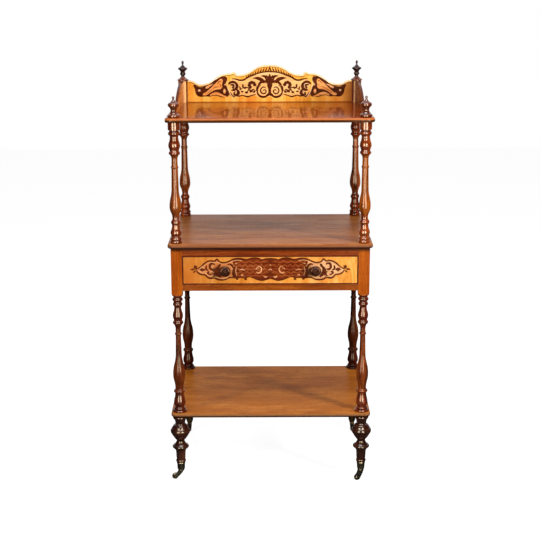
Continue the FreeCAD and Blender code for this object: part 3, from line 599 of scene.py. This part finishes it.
# figured maple on the faces that are seen, walnut or pine behind
maple = dict(
    tones=((208, 124, 28), (232, 158, 56), (248, 192, 94)), stops=(0.3, 0.5, 0.68),
    stretch=(34, 34, 9), mottle=(1, 5, 0.6, 0.8), eye=(186, 96, 26), eyeScale=150,
    eyeRing=(0.26, 0.12, 0.55), blush=(232, 132, 66), wash=(6, 2, 0.5), washLevels=(0.45, 0.7, 0.4),
    foot=(112, 48, 10), footLine=(0.0035, 0.001, 0.8), edge=(250, 218, 160), edgeAmount=0.8,
    frontFacing=-0.6, edgeFacing=0.3, gloss=(0.16, 0.26), dulling=0.2, rubbing=1, bump=(0.08, 0.0004),
    shine=0.07, sockets={"Coat Weight": 0.05, "Coat Roughness": 0.08})
maples = dict(
    # behind is the timber of the other faces, and standsOn the level where the board meets the shelf
    # painted shadow at the gallery board's right end, cast by the right post and side board
    mapleGallery=dict(
        maple, behind=woods["walnutCaseBack"], drift=(0.222, 0.264, 0.75, (96, 36, 10)), standsOn=1.1205),
    # painted shade: the drawer front darker towards its left, away from the light
    mapleDrawer=dict(
        maple, behind=woods["pineLining"], drift=(0.04, -0.262, 0.75, (174, 88, 16)),
        tones=((204, 120, 34), (232, 154, 62), (248, 184, 96))),
)


def mapleMaterial(name, look):
    made, tree, shader, place = startMaterial(name, look)
    cross = addNode(tree, "Mapping", {"Vector": place, "Scale": look["stretch"]}).outputs["Vector"]
    colour = ramp(tree, noise(tree, cross, *look["mottle"])["Fac"], look["stops"], look["tones"])
    eyes = addNode(tree, "TexVoronoi", {"Vector": place, "Scale": look["eyeScale"]}).outputs["Distance"]
    colour = fadeTo(tree, eyes, colour, *look["eyeRing"], look["eye"])
    wash = noise(tree, place, *look["wash"])["Fac"]
    colour = fadeTo(tree, wash, colour, *look["washLevels"], look["blush"])
    # painted shade across the board: darker towards its shaded end
    colour = fadeTo(tree, axis(tree, place, "X"), colour, *look["drift"])
    if "standsOn" in look:
        # a dark line where the board stands on the shelf
        level, (upper, lower, amount) = look["standsOn"], look["footLine"]
        height = axis(tree, place, "Z")
        colour = fadeTo(tree, height, colour, level + upper, level + lower, amount, look["foot"])
    front = mathNode(tree, "LESS_THAN", facing(tree, "Y"), look["frontFacing"])
    colour = mixColour(tree, front, timberColour(tree, place, look["behind"])[0], colour)
    top = mathNode(tree, "GREATER_THAN", facing(tree, "Z"), look["edgeFacing"])
    colour = tint(tree, times(tree, top, look["edgeAmount"]), colour, look["edge"])
    finished(tree, shader, place, look, colour, mathNode(tree, "SUBTRACT", 1, front))
    return made


for maker, looks in ((lowerPostMaterial, lowerPosts), (mapleMaterial, maples)):
    finishes.update({name: maker(name, look) for name, look in looks.items()})
finishes["walnutGalleryPostHighlighted"] = galleryPostMaterial("walnutGalleryPostHighlighted")
print("timbers built")


# castors: worn is the clean metal
brass = dict(
    worn=(140, 138, 126), patina=(56, 55, 47), dark=(20, 17, 11), gloss=(0.18, 0.3), patches=(90, 5, 0.65),
    stops=(0.35, 0.65), wear=0.7, edgeWidth=0.0008, reach=0.006, recess=0.9, dulling=0.3, bump=(0.2, 0.0003),
    shine=0.5, sockets={"Metallic": 1})
brasses = dict(
    agedBrass=brass,
    # painted shade: darker brass for the rear castors, which stand in shade under the shelf
    shadedRearBrass=dict(brass, worn=(58, 50, 36), patina=(28, 22, 15), gloss=(0.4, 0.6)))


def brassMaterial(name, look):
    made, tree, shader, place = startMaterial(name, look)
    patches = noise(tree, place, *look["patches"])["Fac"]
    colour = ramp(tree, patches, look["stops"], (look["patina"], look["worn"]))
    colour, hollow = wearDirtAndShade(tree, place, colour, look)
    finished(tree, shader, place, look, colour, hollow, relief=patches)
    return made


finishes.update({name: brassMaterial(name, look) for name, look in brasses.items()})


# marquetry woods, dark, middle and light
inlayWoods = dict(
    inlayField=((222, 152, 80), (240, 182, 112), (250, 206, 146)),
    inlayCream=((236, 202, 140), (250, 226, 172), (255, 238, 196)),
    inlayDark=((58, 16, 2), (80, 28, 6), (108, 46, 14)),
    inlayRim=((112, 66, 24), (132, 84, 34), (152, 104, 48)),
    inlayAmber=((214, 128, 56), (236, 156, 82), (250, 184, 118)),
    inlayPale=((230, 164, 112), (246, 196, 150), (254, 220, 184)),
    inlayDrawerVine=((150, 64, 20), (176, 84, 34), (198, 112, 54)),
    inlayDrawerSide=((192, 104, 50), (213, 127, 69), (229, 151, 92)),
    inlayGround=((88, 25, 3), (114, 40, 9), (144, 64, 24)),
    inlayDrawerDark=((76, 22, 4), (100, 36, 7), (126, 54, 14)),
    inlayDrawerPale=((206, 134, 76), (228, 162, 104), (244, 190, 136)),
)
veneer = dict(
    plain, figure=2.2, waviness=0.6, poreDepth=0.35, poreShare=0.6, gloss=(0.18, 0.28), wear=0, recess=0,
    shine=0.08)
# painted light and shade: paler towards the right, where the light falls, and a painted shadow beside each
# knob at these places across and up
drawerSides = dict(drift=(-0.02, 0.2, 0.75, (246, 194, 138)), knobs=((-0.154, 0.664), (0.111, 0.664)))
for name, tones in inlayWoods.items():
    extra = drawerSides if name == "inlayDrawerSide" else {}
    dark = [value * veneer["poreShare"] for value in tones[0]]
    finishes[name] = timberMaterial(name, dict(veneer, tones=tones, dark=dark, worn=tones[2], **extra))


# marquetry, in millimetres from the middle of the board's foot: drawn for one half, then mirrored.
# A stroke is a row of (across, height, half width); a panel is an outline of (across, height).
millimetre = 0.001
# how wide a leaf's ends are, how a scroll is stepped and closes up, and the points taken as one
pen = dict(leafEnds=(0.2, 0.15), fewest=4, knots=9, tighten=0.8, smooth=4, nearly=0.001)


def leaf(start, finish, width, bend=0):
    along = Vector(finish) - Vector(start)
    middle = Vector(start) + along / 2 + Vector((-along.y, along.x)) * bend
    first, last = pen["leafEnds"]
    return [(*start, width * first), (middle.x, middle.y, width), (*finish, width * last)]


def scroll(centre, radii, angle, turns, widths):
    # spiral from the outer radius to the inner, the angle in degrees, turns negative for clockwise
    steps = max(pen["fewest"], round(abs(turns) * pen["knots"]))
    knots = []
    for step in range(steps + 1):
        part = step / steps
        turn = math.radians(angle + 360 * turns * part)
        radius = radii[0] + (radii[1] - radii[0]) * part ** pen["tighten"]
        width = widths[0] + (widths[1] - widths[0]) * abs(2 * part - 1)
        knots.append((centre[0] + radius * math.cos(turn), centre[1] + radius * math.sin(turn), width))
    return knots


def bolder(rows, boldness):
    return [[(x, z, half * boldness) for x, z, half in row] for row in rows]


def mirrored(outline):
    # a half outline that starts on the middle line, closed by its other half
    return outline + [(-x, z) for x, z in reversed(outline) if x]


def drawnCurve(name, rows, flat, thickness, sides):
    data = bpy.data.curves.new(name, "CURVE")
    if flat:
        data.dimensions, data.fill_mode, data.extrude = "2D", "BOTH", thickness
    else:
        data.dimensions, data.bevel_depth, data.bevel_resolution, data.use_fill_caps = "3D", 1, 1, True
    data.resolution_u = pen["smooth"]
    for side in sides:
        for row in rows:
            spline = data.splines.new("BEZIER")
            spline.bezier_points.add(len(row) - 1)
            spline.use_cyclic_u = flat
            for knot, spot in zip(spline.bezier_points, row):
                knot.co = (side * spot[0], spot[1], 0)
                knot.radius = 1 if flat else spot[2]
                knot.handle_left_type = knot.handle_right_type = "AUTO"
    drawn = addObject(name, data)
    bpy.context.view_layer.update()
    mesh = bpy.data.meshes.new_from_object(drawn)
    bpy.data.objects.remove(drawn)
    bpy.data.curves.remove(data)
    return mesh


def layInlay(name, wood, place, body, lift, strokes=(), panels=(), base=0, sides=(1, -1)):
    # strokes are pressed flat; base is the layer they lie on, lift how far the widest stands above it
    mesh = drawnCurve(name, strokes or panels, bool(panels), lift, sides)
    if strokes:
        widest = max(spot[2] for row in strokes for spot in row)
        for corner in mesh.vertices:
            raised = base if corner.co.z > -pen["nearly"] else 0
            corner.co.z = corner.co.z * lift / widest + raised
    shape = bmesh.new()
    shape.from_mesh(mesh)
    bpy.data.meshes.remove(mesh)
    bmesh.ops.remove_doubles(shape, verts=shape.verts, dist=pen["nearly"])
    bmesh.ops.recalc_face_normals(shape, faces=shape.faces)
    piece = addObject(name, keepMesh(name, shape))
    upright = Matrix.Rotation(math.pi / 2, 4, "X") @ Matrix.Scale(millimetre, 4)
    piece.data.transform(Matrix.Translation(place) @ upright)
    piece.data.materials.append(finishes[wood])
    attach(piece, body)


galleryInlay = dict(
    # dark strokes are this much wider than they are written, and the volutes as written
    boldness=2,
    horn=[
        [(137.4, 79.5), (150.8, 81.6), (163.3, 77.5), (179.3, 68.7), (193.6, 58.1), (209.6, 51.2),
         (225.7, 49.1), (243.9, 55.5), (240.3, 42.8), (237.8, 30.4), (231.9, 21.2), (222.1, 17.3),
         (206.1, 19.1), (191.8, 18.1), (181.1, 21.2), (168.6, 20.2), (156.1, 16.3), (143.7, 16.3),
         (132.6, 19.5), (130.8, 27.8), (136.2, 38.4), (136.9, 48.9), (141.5, 58.3), (136.2, 69.2)]],
    tongues=[
        [(215, 24.3), (203.4, 33.1), (194.5, 41), (183.8, 50.8), (173.1, 61.3), (163.3, 69.3), (154.4, 74.6),
         (150.5, 69.3), (153, 56.9), (152.6, 47.2), (158.9, 41.9), (168.7, 41), (179.4, 37.5), (189.2, 32.2),
         (197.2, 26), (207.9, 21.6)],
        [(191.8, 21.6), (184.7, 28.7), (175.8, 32.2), (166.9, 31.7), (157.1, 27.8), (145.5, 21.6),
         (137.5, 16.7), (149, 17.7), (161.5, 21.3), (172.2, 23.7), (182.9, 23)],
        [(204.3, 44.6), (199.9, 51.6), (191.8, 56.1), (184.7, 56.9), (190.1, 51.6), (197.2, 45.5)],
        [(148.7, 39.3), (145.5, 42.8), (141.6, 39.3), (141.2, 32.2), (145.1, 27.8), (148.7, 32.2)]],
    veins=[
        [(168.7, 56.9, 0.4), (161.5, 65.8, 1.3), (154.4, 69.3, 1.1)],
        [(182.9, 42.8, 0.4), (172.2, 48.1, 0.9), (161.5, 49.9, 0.4)],
        [(200.8, 28.7, 0.4), (191.8, 35.8, 0.8), (182.9, 41, 0.4)],
        [(161.5, 59.6, 0.4), (157.1, 55.2, 1), (158, 48.1, 0.4)]],
    field=[(0, 95), (26, 93), (49, 85.5), (62, 81.5), (72, 76), (83, 69.5), (95, 68.5), (108, 72), (120, 73),
        (130, 64), (128, 48), (122, 30), (113, 18), (97, 18), (88, 21), (79, 18.5), (70, 16), (61, 19),
        (51, 22), (40, 18), (20, 13), (6, 17)],
    scrolls=[
        [(132.6, 56.1, 0.8), (127.6, 61.9, 1.9), (117.8, 64.7, 2.1), (108.9, 59.9, 2.3), (104.8, 51.6, 2.5),
         (107.5, 43.9, 2.3), (114.3, 40.7, 1.7), (119.1, 43.5, 0.8)],
        [(125.9, 54.8, 0.8), (120.5, 56.1, 1.7), (114.8, 52.5, 2.1), (116.6, 47.8, 1.7), (121.2, 47.8, 0.8)],
        [(123.2, 38.4, 0.8), (114.3, 39.3, 2.1), (104.8, 37.2, 2.5), (100.2, 30.8, 2.5), (104.1, 24.1, 2.3),
         (111.2, 23.4, 1.9), (114.4, 28.2, 1.5), (110.7, 31.7, 0.8)],
        [(137.5, 48.1, 0.8), (132.6, 35.8, 1.7), (125.9, 26, 2.1), (118.7, 19.5, 1.5), (110.7, 16.7, 0.6)]],
    lines=[
        [(108, 20.2, 0.7), (97.3, 19.5, 1.1), (88.4, 22.3, 0.9), (79.4, 19.8, 1.1), (70.5, 17.7, 1.2),
         (61.6, 20.5, 0.9), (51.8, 23.3, 0.9), (43.4, 25.5, 0.5)],
        [(120.8, 74.5, 0.7), (108, 73.7, 1.1), (94.6, 70, 1.4), (83, 71.4, 1.4), (72.3, 77.7, 1.2),
         (61.6, 83, 1.4), (49.1, 87.3, 1.2), (38.4, 91.3, 1.1), (25.9, 94.7, 1.1), (11.7, 96.6, 1.1),
         (0, 97, 1.1)]],
    leaves=[
        [(88.1, 57.8, 0.6), (85.7, 52.5, 1.7), (88.4, 48.1, 0.8)],
        [(84.8, 48.1, 0.6), (79.8, 45.5, 2.1), (75.9, 49.9, 0.8)],
        [(92.9, 36.6, 0.6), (88.4, 34, 1.7), (83.9, 35.4, 0.6)],
        [(79.5, 33.1, 0.8), (74.1, 31.3, 2.1), (69.7, 34.9, 0.8)],
        [(65.2, 32.2, 0.8), (60.8, 34.9, 2.3), (59.9, 40.2, 0.8)],
        [(54.5, 31.3, 0.6), (50.1, 33.1, 1.9), (45.6, 36.6, 0.6)],
        [(97.3, 51.6, 0.5), (94.6, 44.6, 1.3), (95.9, 38.4, 0.5)],
        [(5, 76, 0.7), (13.2, 81.2, 2), (21.5, 83.4, 1.4), (28.2, 83, 0.4)],
        [(17.9, 61.8, 2.1), (25, 70, 3), (38.2, 76, 2.5), (53.6, 76.7, 0.5)],
        [(13.2, 59.7, 0.5), (21.5, 65.7, 1.4), (29.7, 61.8, 2.1), (37.5, 55.5, 0.9)],
        [(36.1, 51.2, 0.7), (41.4, 43.8, 1.1), (43.9, 35.7, 0.7)],
        [(95.2, 38.6, 0.5), (85, 46.5, 0.8), (75, 47, 1), (63, 44, 0.8)],
        [(73, 32.5, 0.5), (69, 39, 0.9), (66, 46, 0.5)]],
    # base, height and length of the slanting strokes round the crest
    gadroons=[(5, 98, 14), (13.5, 98, 14), (22, 97, 13.5), (30.5, 95, 13), (39, 92.5, 12),
        (47.5, 89.5, 10.5), (55, 86.7, 9), (62, 84, 8), (68.5, 81, 7), (75, 77.5, 5.5)],
    flower=(56.6, 54.5), petals=range(172, -49, -44), petalReach=(3.4, 14),
    volutes=[
        [(4.5, 27.5, 1.6), (9.5, 20.5, 3), (18, 16.8, 3.6), (28, 18.2, 3.6), (36.5, 24.5, 3),
         (39.8, 33.5, 2.4), (38, 43, 2), (33.5, 50, 1.4), (27, 54, 0.8)],
        [(12.5, 45.5, 1), (19, 48.5, 2), (26, 45, 2.2), (29.2, 38, 2.2), (27, 30.5, 2.4), (20, 27, 2.4),
         (13, 30.5, 2.2), (12.2, 37, 2), (17, 40, 1.7), (21.5, 37, 1.2)],
        [(29, 56, 1), (36, 53.5, 2.2), (44, 47, 1)]],
    zigzag=[
        [(47, 36, 0.4), (53.5, 40.5, 1.4), (58, 33, 1), (65, 39.5, 1.4), (72, 35, 0.4)]],
    fan=[(0, 60, 0, 91, 2.3), (2, 60, 10, 87, 2.1), (4, 59, 17, 80, 2), (4, 57, 20, 71, 1.7)],
    stem=[
        [(0, 61, 1.5), (0, 50, 3.2), (0, 38, 2.2), (0, 22, 2.8)], [(7, 62, 0.8), (4.5, 52, 2), (2, 42, 0.8)],
        [(0, 27, 2.2), (5, 24, 2.4), (11, 20, 1.4)]],
    pale=[
        [(137.6, 68.4, 0.5), (135.8, 51.6, 1.4), (131.2, 37.1, 1.8), (124.7, 23, 1.4), (116.9, 14.5, 0.5)],
        [(120.5, 59, 0.4), (113.7, 58.3, 1.1), (110.8, 52.7, 1.1), (114.4, 47.7, 0.5)],
        [(111.6, 37.1, 0.4), (106.9, 35.7, 1.1), (106.9, 30.8, 0.7)],
        [(205.7, 44.5, 0.4), (203.2, 48.9, 1.4), (197.9, 49.8, 1.4), (195.7, 45.9, 0.5)],
        [(229.5, 37.5, 3.2), (222.5, 37.5, 3.2)], [(148, 35.5, 2.8), (143, 36, 2.8)],
        [(144.5, 57.5, 1.8), (141.5, 54.5, 1.8)], [(180, 58.5, 0.4), (187, 54.5, 1), (193, 51.5, 0.4)]],
    # just inside the board's top edge, as (across, height)
    rim=[(0, 115.2), (25, 113.1), (40, 107.9), (54.5, 99.3), (69, 90.7), (84, 85.9), (101, 84),
        (107.5, 85.2), (115.5, 92.8), (124, 89.2), (129, 89), (146, 87), (161, 81.2), (175.5, 71.4),
        (190, 61.9), (205, 56.5), (222, 54.4), (230, 55.6), (239, 60.2), (248, 65.4), (256, 67), (262.5, 67)],
    petalWidths=(1.2, 3, 1.5), eye=(1.5, 2.6), fanBend=0.06,
    # shares of the length across and up, then half width
    gadroonShape=((0, 0, 1.2), (-0.24, 0.55, 0.9), (-0.36, 1, 0.3)),
    # half widths, and how far the line lies below the banding
    banding=1.6, line=0.8, lineDrop=3.2,
)


def addGalleryInlay():
    inlay = galleryInlay
    low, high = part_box("gallery_back")
    board = {"place": (0, low.y, low.z), "body": "root"}
    flower = Vector(inlay["flower"])
    petals = []
    for angle in inlay["petals"]:
        way = Vector((math.cos(math.radians(angle)), math.sin(math.radians(angle))))
        start, finish = (flower + way * reach for reach in inlay["petalReach"])
        spots = (start, (start + finish) / 2, finish)
        petals.append([(*spot, half) for spot, half in zip(spots, inlay["petalWidths"])])
    gadroons = [[(base + length * out, height + length * up, half) for out, up, half in inlay["gadroonShape"]]
                for base, height, length in inlay["gadroons"]]
    fan = [leaf(row[:2], row[2:4], row[4], inlay["fanBend"]) for row in inlay["fan"]]
    dark = inlay["zigzag"] + inlay["scrolls"] + inlay["lines"] + inlay["leaves"] + gadroons + fan + petals
    dark = bolder(dark, inlay["boldness"]) + inlay["volutes"] + bolder(inlay["stem"], inlay["boldness"])
    reach, half = inlay["eye"]
    pale = inlay["pale"] + [[(flower.x + side * reach, flower.y, half) for side in (1, -1)]]
    banding = [[(*spot, inlay["banding"]) for spot in inlay["rim"]]]
    line = [[(x, z - inlay["lineDrop"], inlay["line"]) for x, z in inlay["rim"]]]
    field = [mirrored(inlay["field"])]
    layInlay("gallery_inlay_field", "inlayField", **board, panels=field, lift=0.04, sides=(1,))
    layInlay("gallery_inlay_dark", "inlayDark", **board, strokes=dark, base=0.05, lift=0.12)
    layInlay("gallery_inlay_horn", "inlayDark", **board, panels=inlay["horn"], lift=0.08)
    layInlay("gallery_inlay_tongue", "inlayAmber", **board, panels=inlay["tongues"], lift=0.13)
    layInlay("gallery_inlay_vein", "inlayDrawerDark", **board, strokes=inlay["veins"], base=0.13, lift=0.06)
    layInlay("gallery_inlay_pale", "inlayPale", **board, strokes=pale, base=0.18, lift=0.08)
    layInlay("gallery_rim_banding", "inlayCream", **board, strokes=banding, lift=0.08)
    layInlay("gallery_rim_line", "inlayRim", **board, strokes=line, lift=0.06)


# heights are from the middle of the drawer front
drawerInlay = dict(
    boldness=2.1,
    contour=[
        [(219.6, 2.9, 0.7), (210.9, 6.9, 1.2), (203.5, 12.2, 1.2), (195.2, 20.8, 1.2), (184.7, 26.9, 1.2),
         (174.3, 28.9, 1.2), (165.2, 27.6, 1.1), (157.5, 33, 1.4), (150.7, 25.9, 1.1), (143.9, 23.3, 1.2),
         (133.5, 23.3, 1.2), (122, 27.1, 1.2), (111.5, 32.3, 1.2), (101.1, 35.2, 1.2), (90.6, 35.5, 1.2),
         (80.2, 33.7, 1.2), (68, 32, 1.2), (59.3, 34.8, 1.2), (47.1, 36.3, 1.4), (34.9, 34.8, 1.4),
         (24.4, 30.5, 1.4), (14, 33.4, 1.2), (0, 34.8, 1.2)],
        [(219.6, 1.1, 0.7), (213, -8.2, 1.2), (201.5, -13.2, 1.2), (192.7, -14.3, 1.2), (186.8, -21.1, 1.2),
         (177.1, -24.3, 1.4), (167.3, -22.6, 1.2), (156.8, -27.6, 1.2), (146.4, -29.4, 1.2),
         (134.2, -27.9, 1.2), (122.9, -22.9, 1.2), (113.3, -21.8, 1.1), (101.1, -23.3, 1.2),
         (90.6, -22.2, 1.1), (73.2, -21.8, 1.2), (62.7, -19.3, 1.2), (50.5, -22.2, 1.4), (38.7, -26.9, 1.6),
         (24.4, -29.4, 1.8), (12.2, -27.2, 1.6), (0, -23.3, 1.4)]],
    ground=[(0, 33), (14, 31.5), (24.4, 29), (35, 33), (47, 34.5), (59, 33), (68, 30.5), (80, 32),
        (91, 33.5), (101, 33), (112, 28), (108, 18), (104, 8), (106, -4), (110, -14), (101, -21.5),
        (90, -21), (73, -20), (63, -17.5), (50, -20.5), (38, -25), (24.4, -27.5), (12, -25.5), (0, -22)],
    dark=[
        leaf((219, 4), (224.5, 15.5), 3), leaf((222, 3), (238.5, 2), 1.6), leaf((220, 0), (229, -8), 1.4),
        [(164.7, 16.3, 0.9), (169, 20.8, 1.5), (175.1, 19.9, 1.8), (179.1, 13.6, 1.8), (177.8, 5.6, 1.8),
         (171.7, 2, 1.5), (166.4, 3.8, 0.9)],
        [(188.2, 14.5, 0.9), (190.3, 8.2, 1.5), (187.3, 1.1, 1.3), (183, 1.1, 0.9)],
        [(192.6, 1.1, 0.7), (200.4, 2, 3.3), (209.1, 1.1, 0.7)],
        [(169.9, -3.4, 0.9), (163.8, -8.8, 1.8), (164.7, -16.9, 2), (170.8, -21.3, 1.1)],
        [(180.4, -2.5, 0.9), (184.7, -7.9, 1.8), (181.2, -14.2, 1.5), (175.1, -11.8, 0.9)],
        [(148.1, 19, 0.9), (150.7, 14.5, 2), (155.1, 8.2, 1.1)],
        [(109.8, 6.5, 0.9), (113.3, 14.5, 1.8), (120.2, 18.1, 1.5), (126.3, 16.3, 0.9)],
        [(95.9, 19, 1.1), (97.6, 25.3, 1.5), (104.6, 24.4, 1.5), (106.3, 18.1, 1.5), (101.1, 14.5, 1.1)],
        # this stroke and its mirror are partly dark inlay, partly painted shadow beside a knob
        [(104.6, 11.8, 0.9), (108.1, -2.5, 2.2), (107.2, -16.9, 2.4), (101.1, -22.2, 0.9)],
        [(72.3, -18.6, 1.5), (74.9, -9.7, 2), (83.7, -4.3, 1.8), (93.2, -8.8, 2), (97.6, -18.6, 2.2),
         (98.5, -29.4, 1.5)], [(73.2, -20.4, 1.5), (73.5, -30.3, 2)],
        [(80.2, 11.8, 0.9), (85.4, 14.5, 1.3), (90.6, 10, 1.3), (88.9, 2.9, 1.1)],
        [(97.6, 10, 1.1), (95, 1.1, 1.5), (97.6, -6.1, 1.1)],
        [(15.7, 19, 0.9), (20.9, 11.8, 1.5), (19.2, 2.9, 1.3), (12.2, -4.3, 0.7)],
        [(50.5, -4.3, 0.9), (57.5, 1.1, 1.5), (62.7, -4.3, 1.3), (61, -11.5, 0.9)],
        [(-3.5, 33.3, 0.9), (3.5, 24.4, 1.5), (12.2, 22.6, 0.7)],
        [(-5.2, -4.3, 0.9), (1.8, -11.5, 1.3), (10.5, -11.5, 0.7)],
        [(43.6, 26.2, 0.9), (52.3, 19, 1.3), (62.7, 20.8, 0.7)],
        # partly dark inlay, partly painted shadow beside a knob, with its mirror
        [(154.2, 11.8, 0.9), (159.5, 1.1, 2.9), (155.1, -11.5, 2.6), (146.4, -21.3, 1.1)]],
    pale=[
        [(213, 3, 0.4), (207, 7.4, 0.9), (196, 14.5, 0.9), (188, 20.5, 0.9), (176, 24.4, 0.9),
         (165, 23, 0.8), (155.5, 25, 0.9), (148, 20.5, 0.9), (135, 19.4, 0.9), (122, 22.8, 0.9),
         (110, 28.2, 0.9), (99, 30.6, 0.9), (84, 29, 0.8)],
        [(212, -3, 0.4), (203, -8.4, 0.9), (191, -10.2, 0.9), (184, -16.8, 0.8), (174, -19.6, 0.8),
         (160, -22, 0.9), (146.4, -25, 1.1), (134, -23.6, 1.1), (122, -18.8, 0.9), (112, -17.6, 0.8)],
        [(36.6, 12.7, 0.9), (28.8, 9.1, 1.3), (26.1, 2.9, 1.5), (28.8, -5.2, 2), (35.7, -8.8, 2.2),
         (41.8, -5.2, 1.3)], [(34, 5.6, 0.7), (39.7, 6.8, 1.1), (42.7, 2.5, 0.9)],
        [(9.6, -20.4, 1.3), (15.7, -21.3, 2.2), (20, -17.7, 0.9)],
        [(74.9, -0.7, 0.9), (83.7, 2.9, 1.3), (91.5, 0.2, 0.9)], [(80.2, -15.4, 1.5), (87.1, -14.2, 2.6)],
        [(99.7, 10, 0.7), (102.5, 1.1, 1.3), (101.4, -9.7, 1.3), (99, -16.9, 0.9)],
        [(122.3, 16.3, 0.7), (115, 8.6, 1.3), (112.9, 1.1, 0.9)],
        [(125.5, -22.2, 0.9), (137.7, -25.8, 1.3), (153.4, -22.6, 1.3), (164.7, -16.9, 0.7)],
        [(167.3, -7, 0.9), (174.3, -3.4, 1.5), (180.9, -7, 0.9)],
        [(169, -15.4, 1.1), (176, -17.2, 1.8), (184.7, -15.1, 1.5), (191.7, -7.9, 0.9)],
        [(196.1, 5.6, 0.7), (202.2, 7.9, 1.1), (209.1, 5.6, 0.7)],
        [(195.2, -3.4, 0.7), (202.2, -5.2, 1.1), (209.1, -2.9, 0.7)],
        [(167.3, 14.5, 0.7), (172.5, 11.8, 1.8), (169, 7.9, 0.9)],
        [(97.6, 20.8, 0.7), (102, 19.9, 1.3), (104.6, 20.8, 0.7)], [(-3.5, 42.3, 0.9), (2.6, 39.6, 1.3)],
        [(3.5, 1.1, 0.7), (-1.7, 2.9, 1.1), (-4.9, -0.7, 0.7)], [(3.5, 14.5, 0.7), (-1.7, 17.2, 1.1)]],
    # how many points of the upper and lower contour lie beside the brown ground
    sidePoints=(15, 13),
    # stems across the brown ground: level, sway, pitch and where the first bend lies
    vines=(
        (25, 3.6, 11.3, 4), (13.5, 4.2, 8.1, 1), (2, 3, 12.4, 6.5), (-8, 4.2, 9.3, 3),
        (-17, 2.4, 11.9, 7.5)),
    vineEnd=104, vineWidth=0.6, curl=1.1, curlEye=0.9, curlSink=0.3, curlAngle=70,
    curlWidths=(0.75, 0.45), leafReach=(0.3, 0.75, 0.9), leafWidth=1.1,
)


def waved(inlay):
    # stems that wave across the brown ground, with a scroll and a leaf in each bend
    rows = []
    for level, sway, pitch, across in inlay["vines"]:
        count = round((inlay["vineEnd"] - across) / pitch) + 1
        bends = [(across + pitch * step, level + sway * (1 if step % 2 else -1)) for step in range(count)]
        rows.append([(*bend, inlay["vineWidth"]) for bend in bends])
        for step, (bend, height) in enumerate(bends[1:-1]):
            side = 1 if step % 2 else -1
            centre, radii = (bend, level - side * sway * inlay["curlSink"]), (sway, inlay["curlEye"])
            angle, turns = inlay["curlAngle"] * step, inlay["curl"] * side
            rows.append(scroll(centre, radii, angle, turns, inlay["curlWidths"]))
            start, finish, rise = inlay["leafReach"]
            tip = (bend + pitch * finish, height + side * sway * rise)
            rows.append(leaf((bend + pitch * start, height), tip, inlay["leafWidth"]))
    return rows


def addDrawerInlay():
    inlay = drawerInlay
    low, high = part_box("drawer_front")
    board = {"place": (0, low.y, (low.z + high.z) / 2), "body": "drawer"}
    over, under = (row[:count] for row, count in zip(inlay["contour"], inlay["sidePoints"]))
    side = [[spot[:2] for spot in over + under[::-1]]]
    dark = bolder(inlay["contour"] + inlay["dark"], inlay["boldness"])
    ground = [mirrored(inlay["ground"])]
    layInlay("drawer_inlay_side", "inlayDrawerSide", **board, panels=side, lift=0.03)
    layInlay("drawer_inlay_ground", "inlayGround", **board, panels=ground, lift=0.05, sides=(1,))
    layInlay("drawer_inlay_dark", "inlayDrawerDark", **board, strokes=dark, base=0.05, lift=0.12)
    layInlay("drawer_inlay_pale", "inlayDrawerPale", **board, strokes=inlay["pale"], base=0.18, lift=0.08)
    layInlay("drawer_inlay_vine", "inlayDrawerVine", **board, strokes=waved(inlay), base=0.12, lift=0.04)


addGalleryInlay()
addDrawerInlay()
print("marquetry laid")


# which finish each part has, by the first of these that starts its name
dressing = dict(
    top_shelf="walnutTopShelf", middle_shelf="walnutMiddleShelf", bottom_shelf="walnutBottomShelf",
    upper_post_rear="walnutUpperPostRear", upper_post_front_right="walnutUpperPostLitRight",
    upper_post="walnutUpperPost", lower_post_rear="walnutLowerPostShadedRear",
    lower_post_front_right="walnutLowerPostLitRight", lower_post="walnutLowerPost", foot="walnutFoot",
    case_top_rail="walnutTopRail", case_bottom_rail="walnutBottomRail", case_side="walnutCaseSide",
    case_back="walnutCaseBack", gallery_side_left="walnutGallerySideLitLeft",
    gallery_side_right="walnutGallerySideShadedRight", gallery_post="walnutGalleryPostHighlighted",
    gallery_back="mapleGallery", gallery_dowels="pineLiningAcross",
    finial_rear="walnutFinialRear", finial="walnutFinial",
    drawer_front="mapleDrawer", drawer_cockbead="darkBead", drawer_knob="ebonisedKnob",
    drawer_back="pineLiningAcross", drawer_bottom="pineLiningAcross",
    drawer_stops="pineLiningAcross", drawer="pineLining",
    **{"castor_%s_rear" % piece: "shadedRearBrass" for piece in ("cup", "horn", "wheel", "axle")},
    castor="agedBrass",
)
for name, part in parts.items():
    finish = next(finishes[choice] for start, choice in dressing.items() if name.startswith(start))
    for slot in part.material_slots:
        slot.material = finish
print("parts dressed")
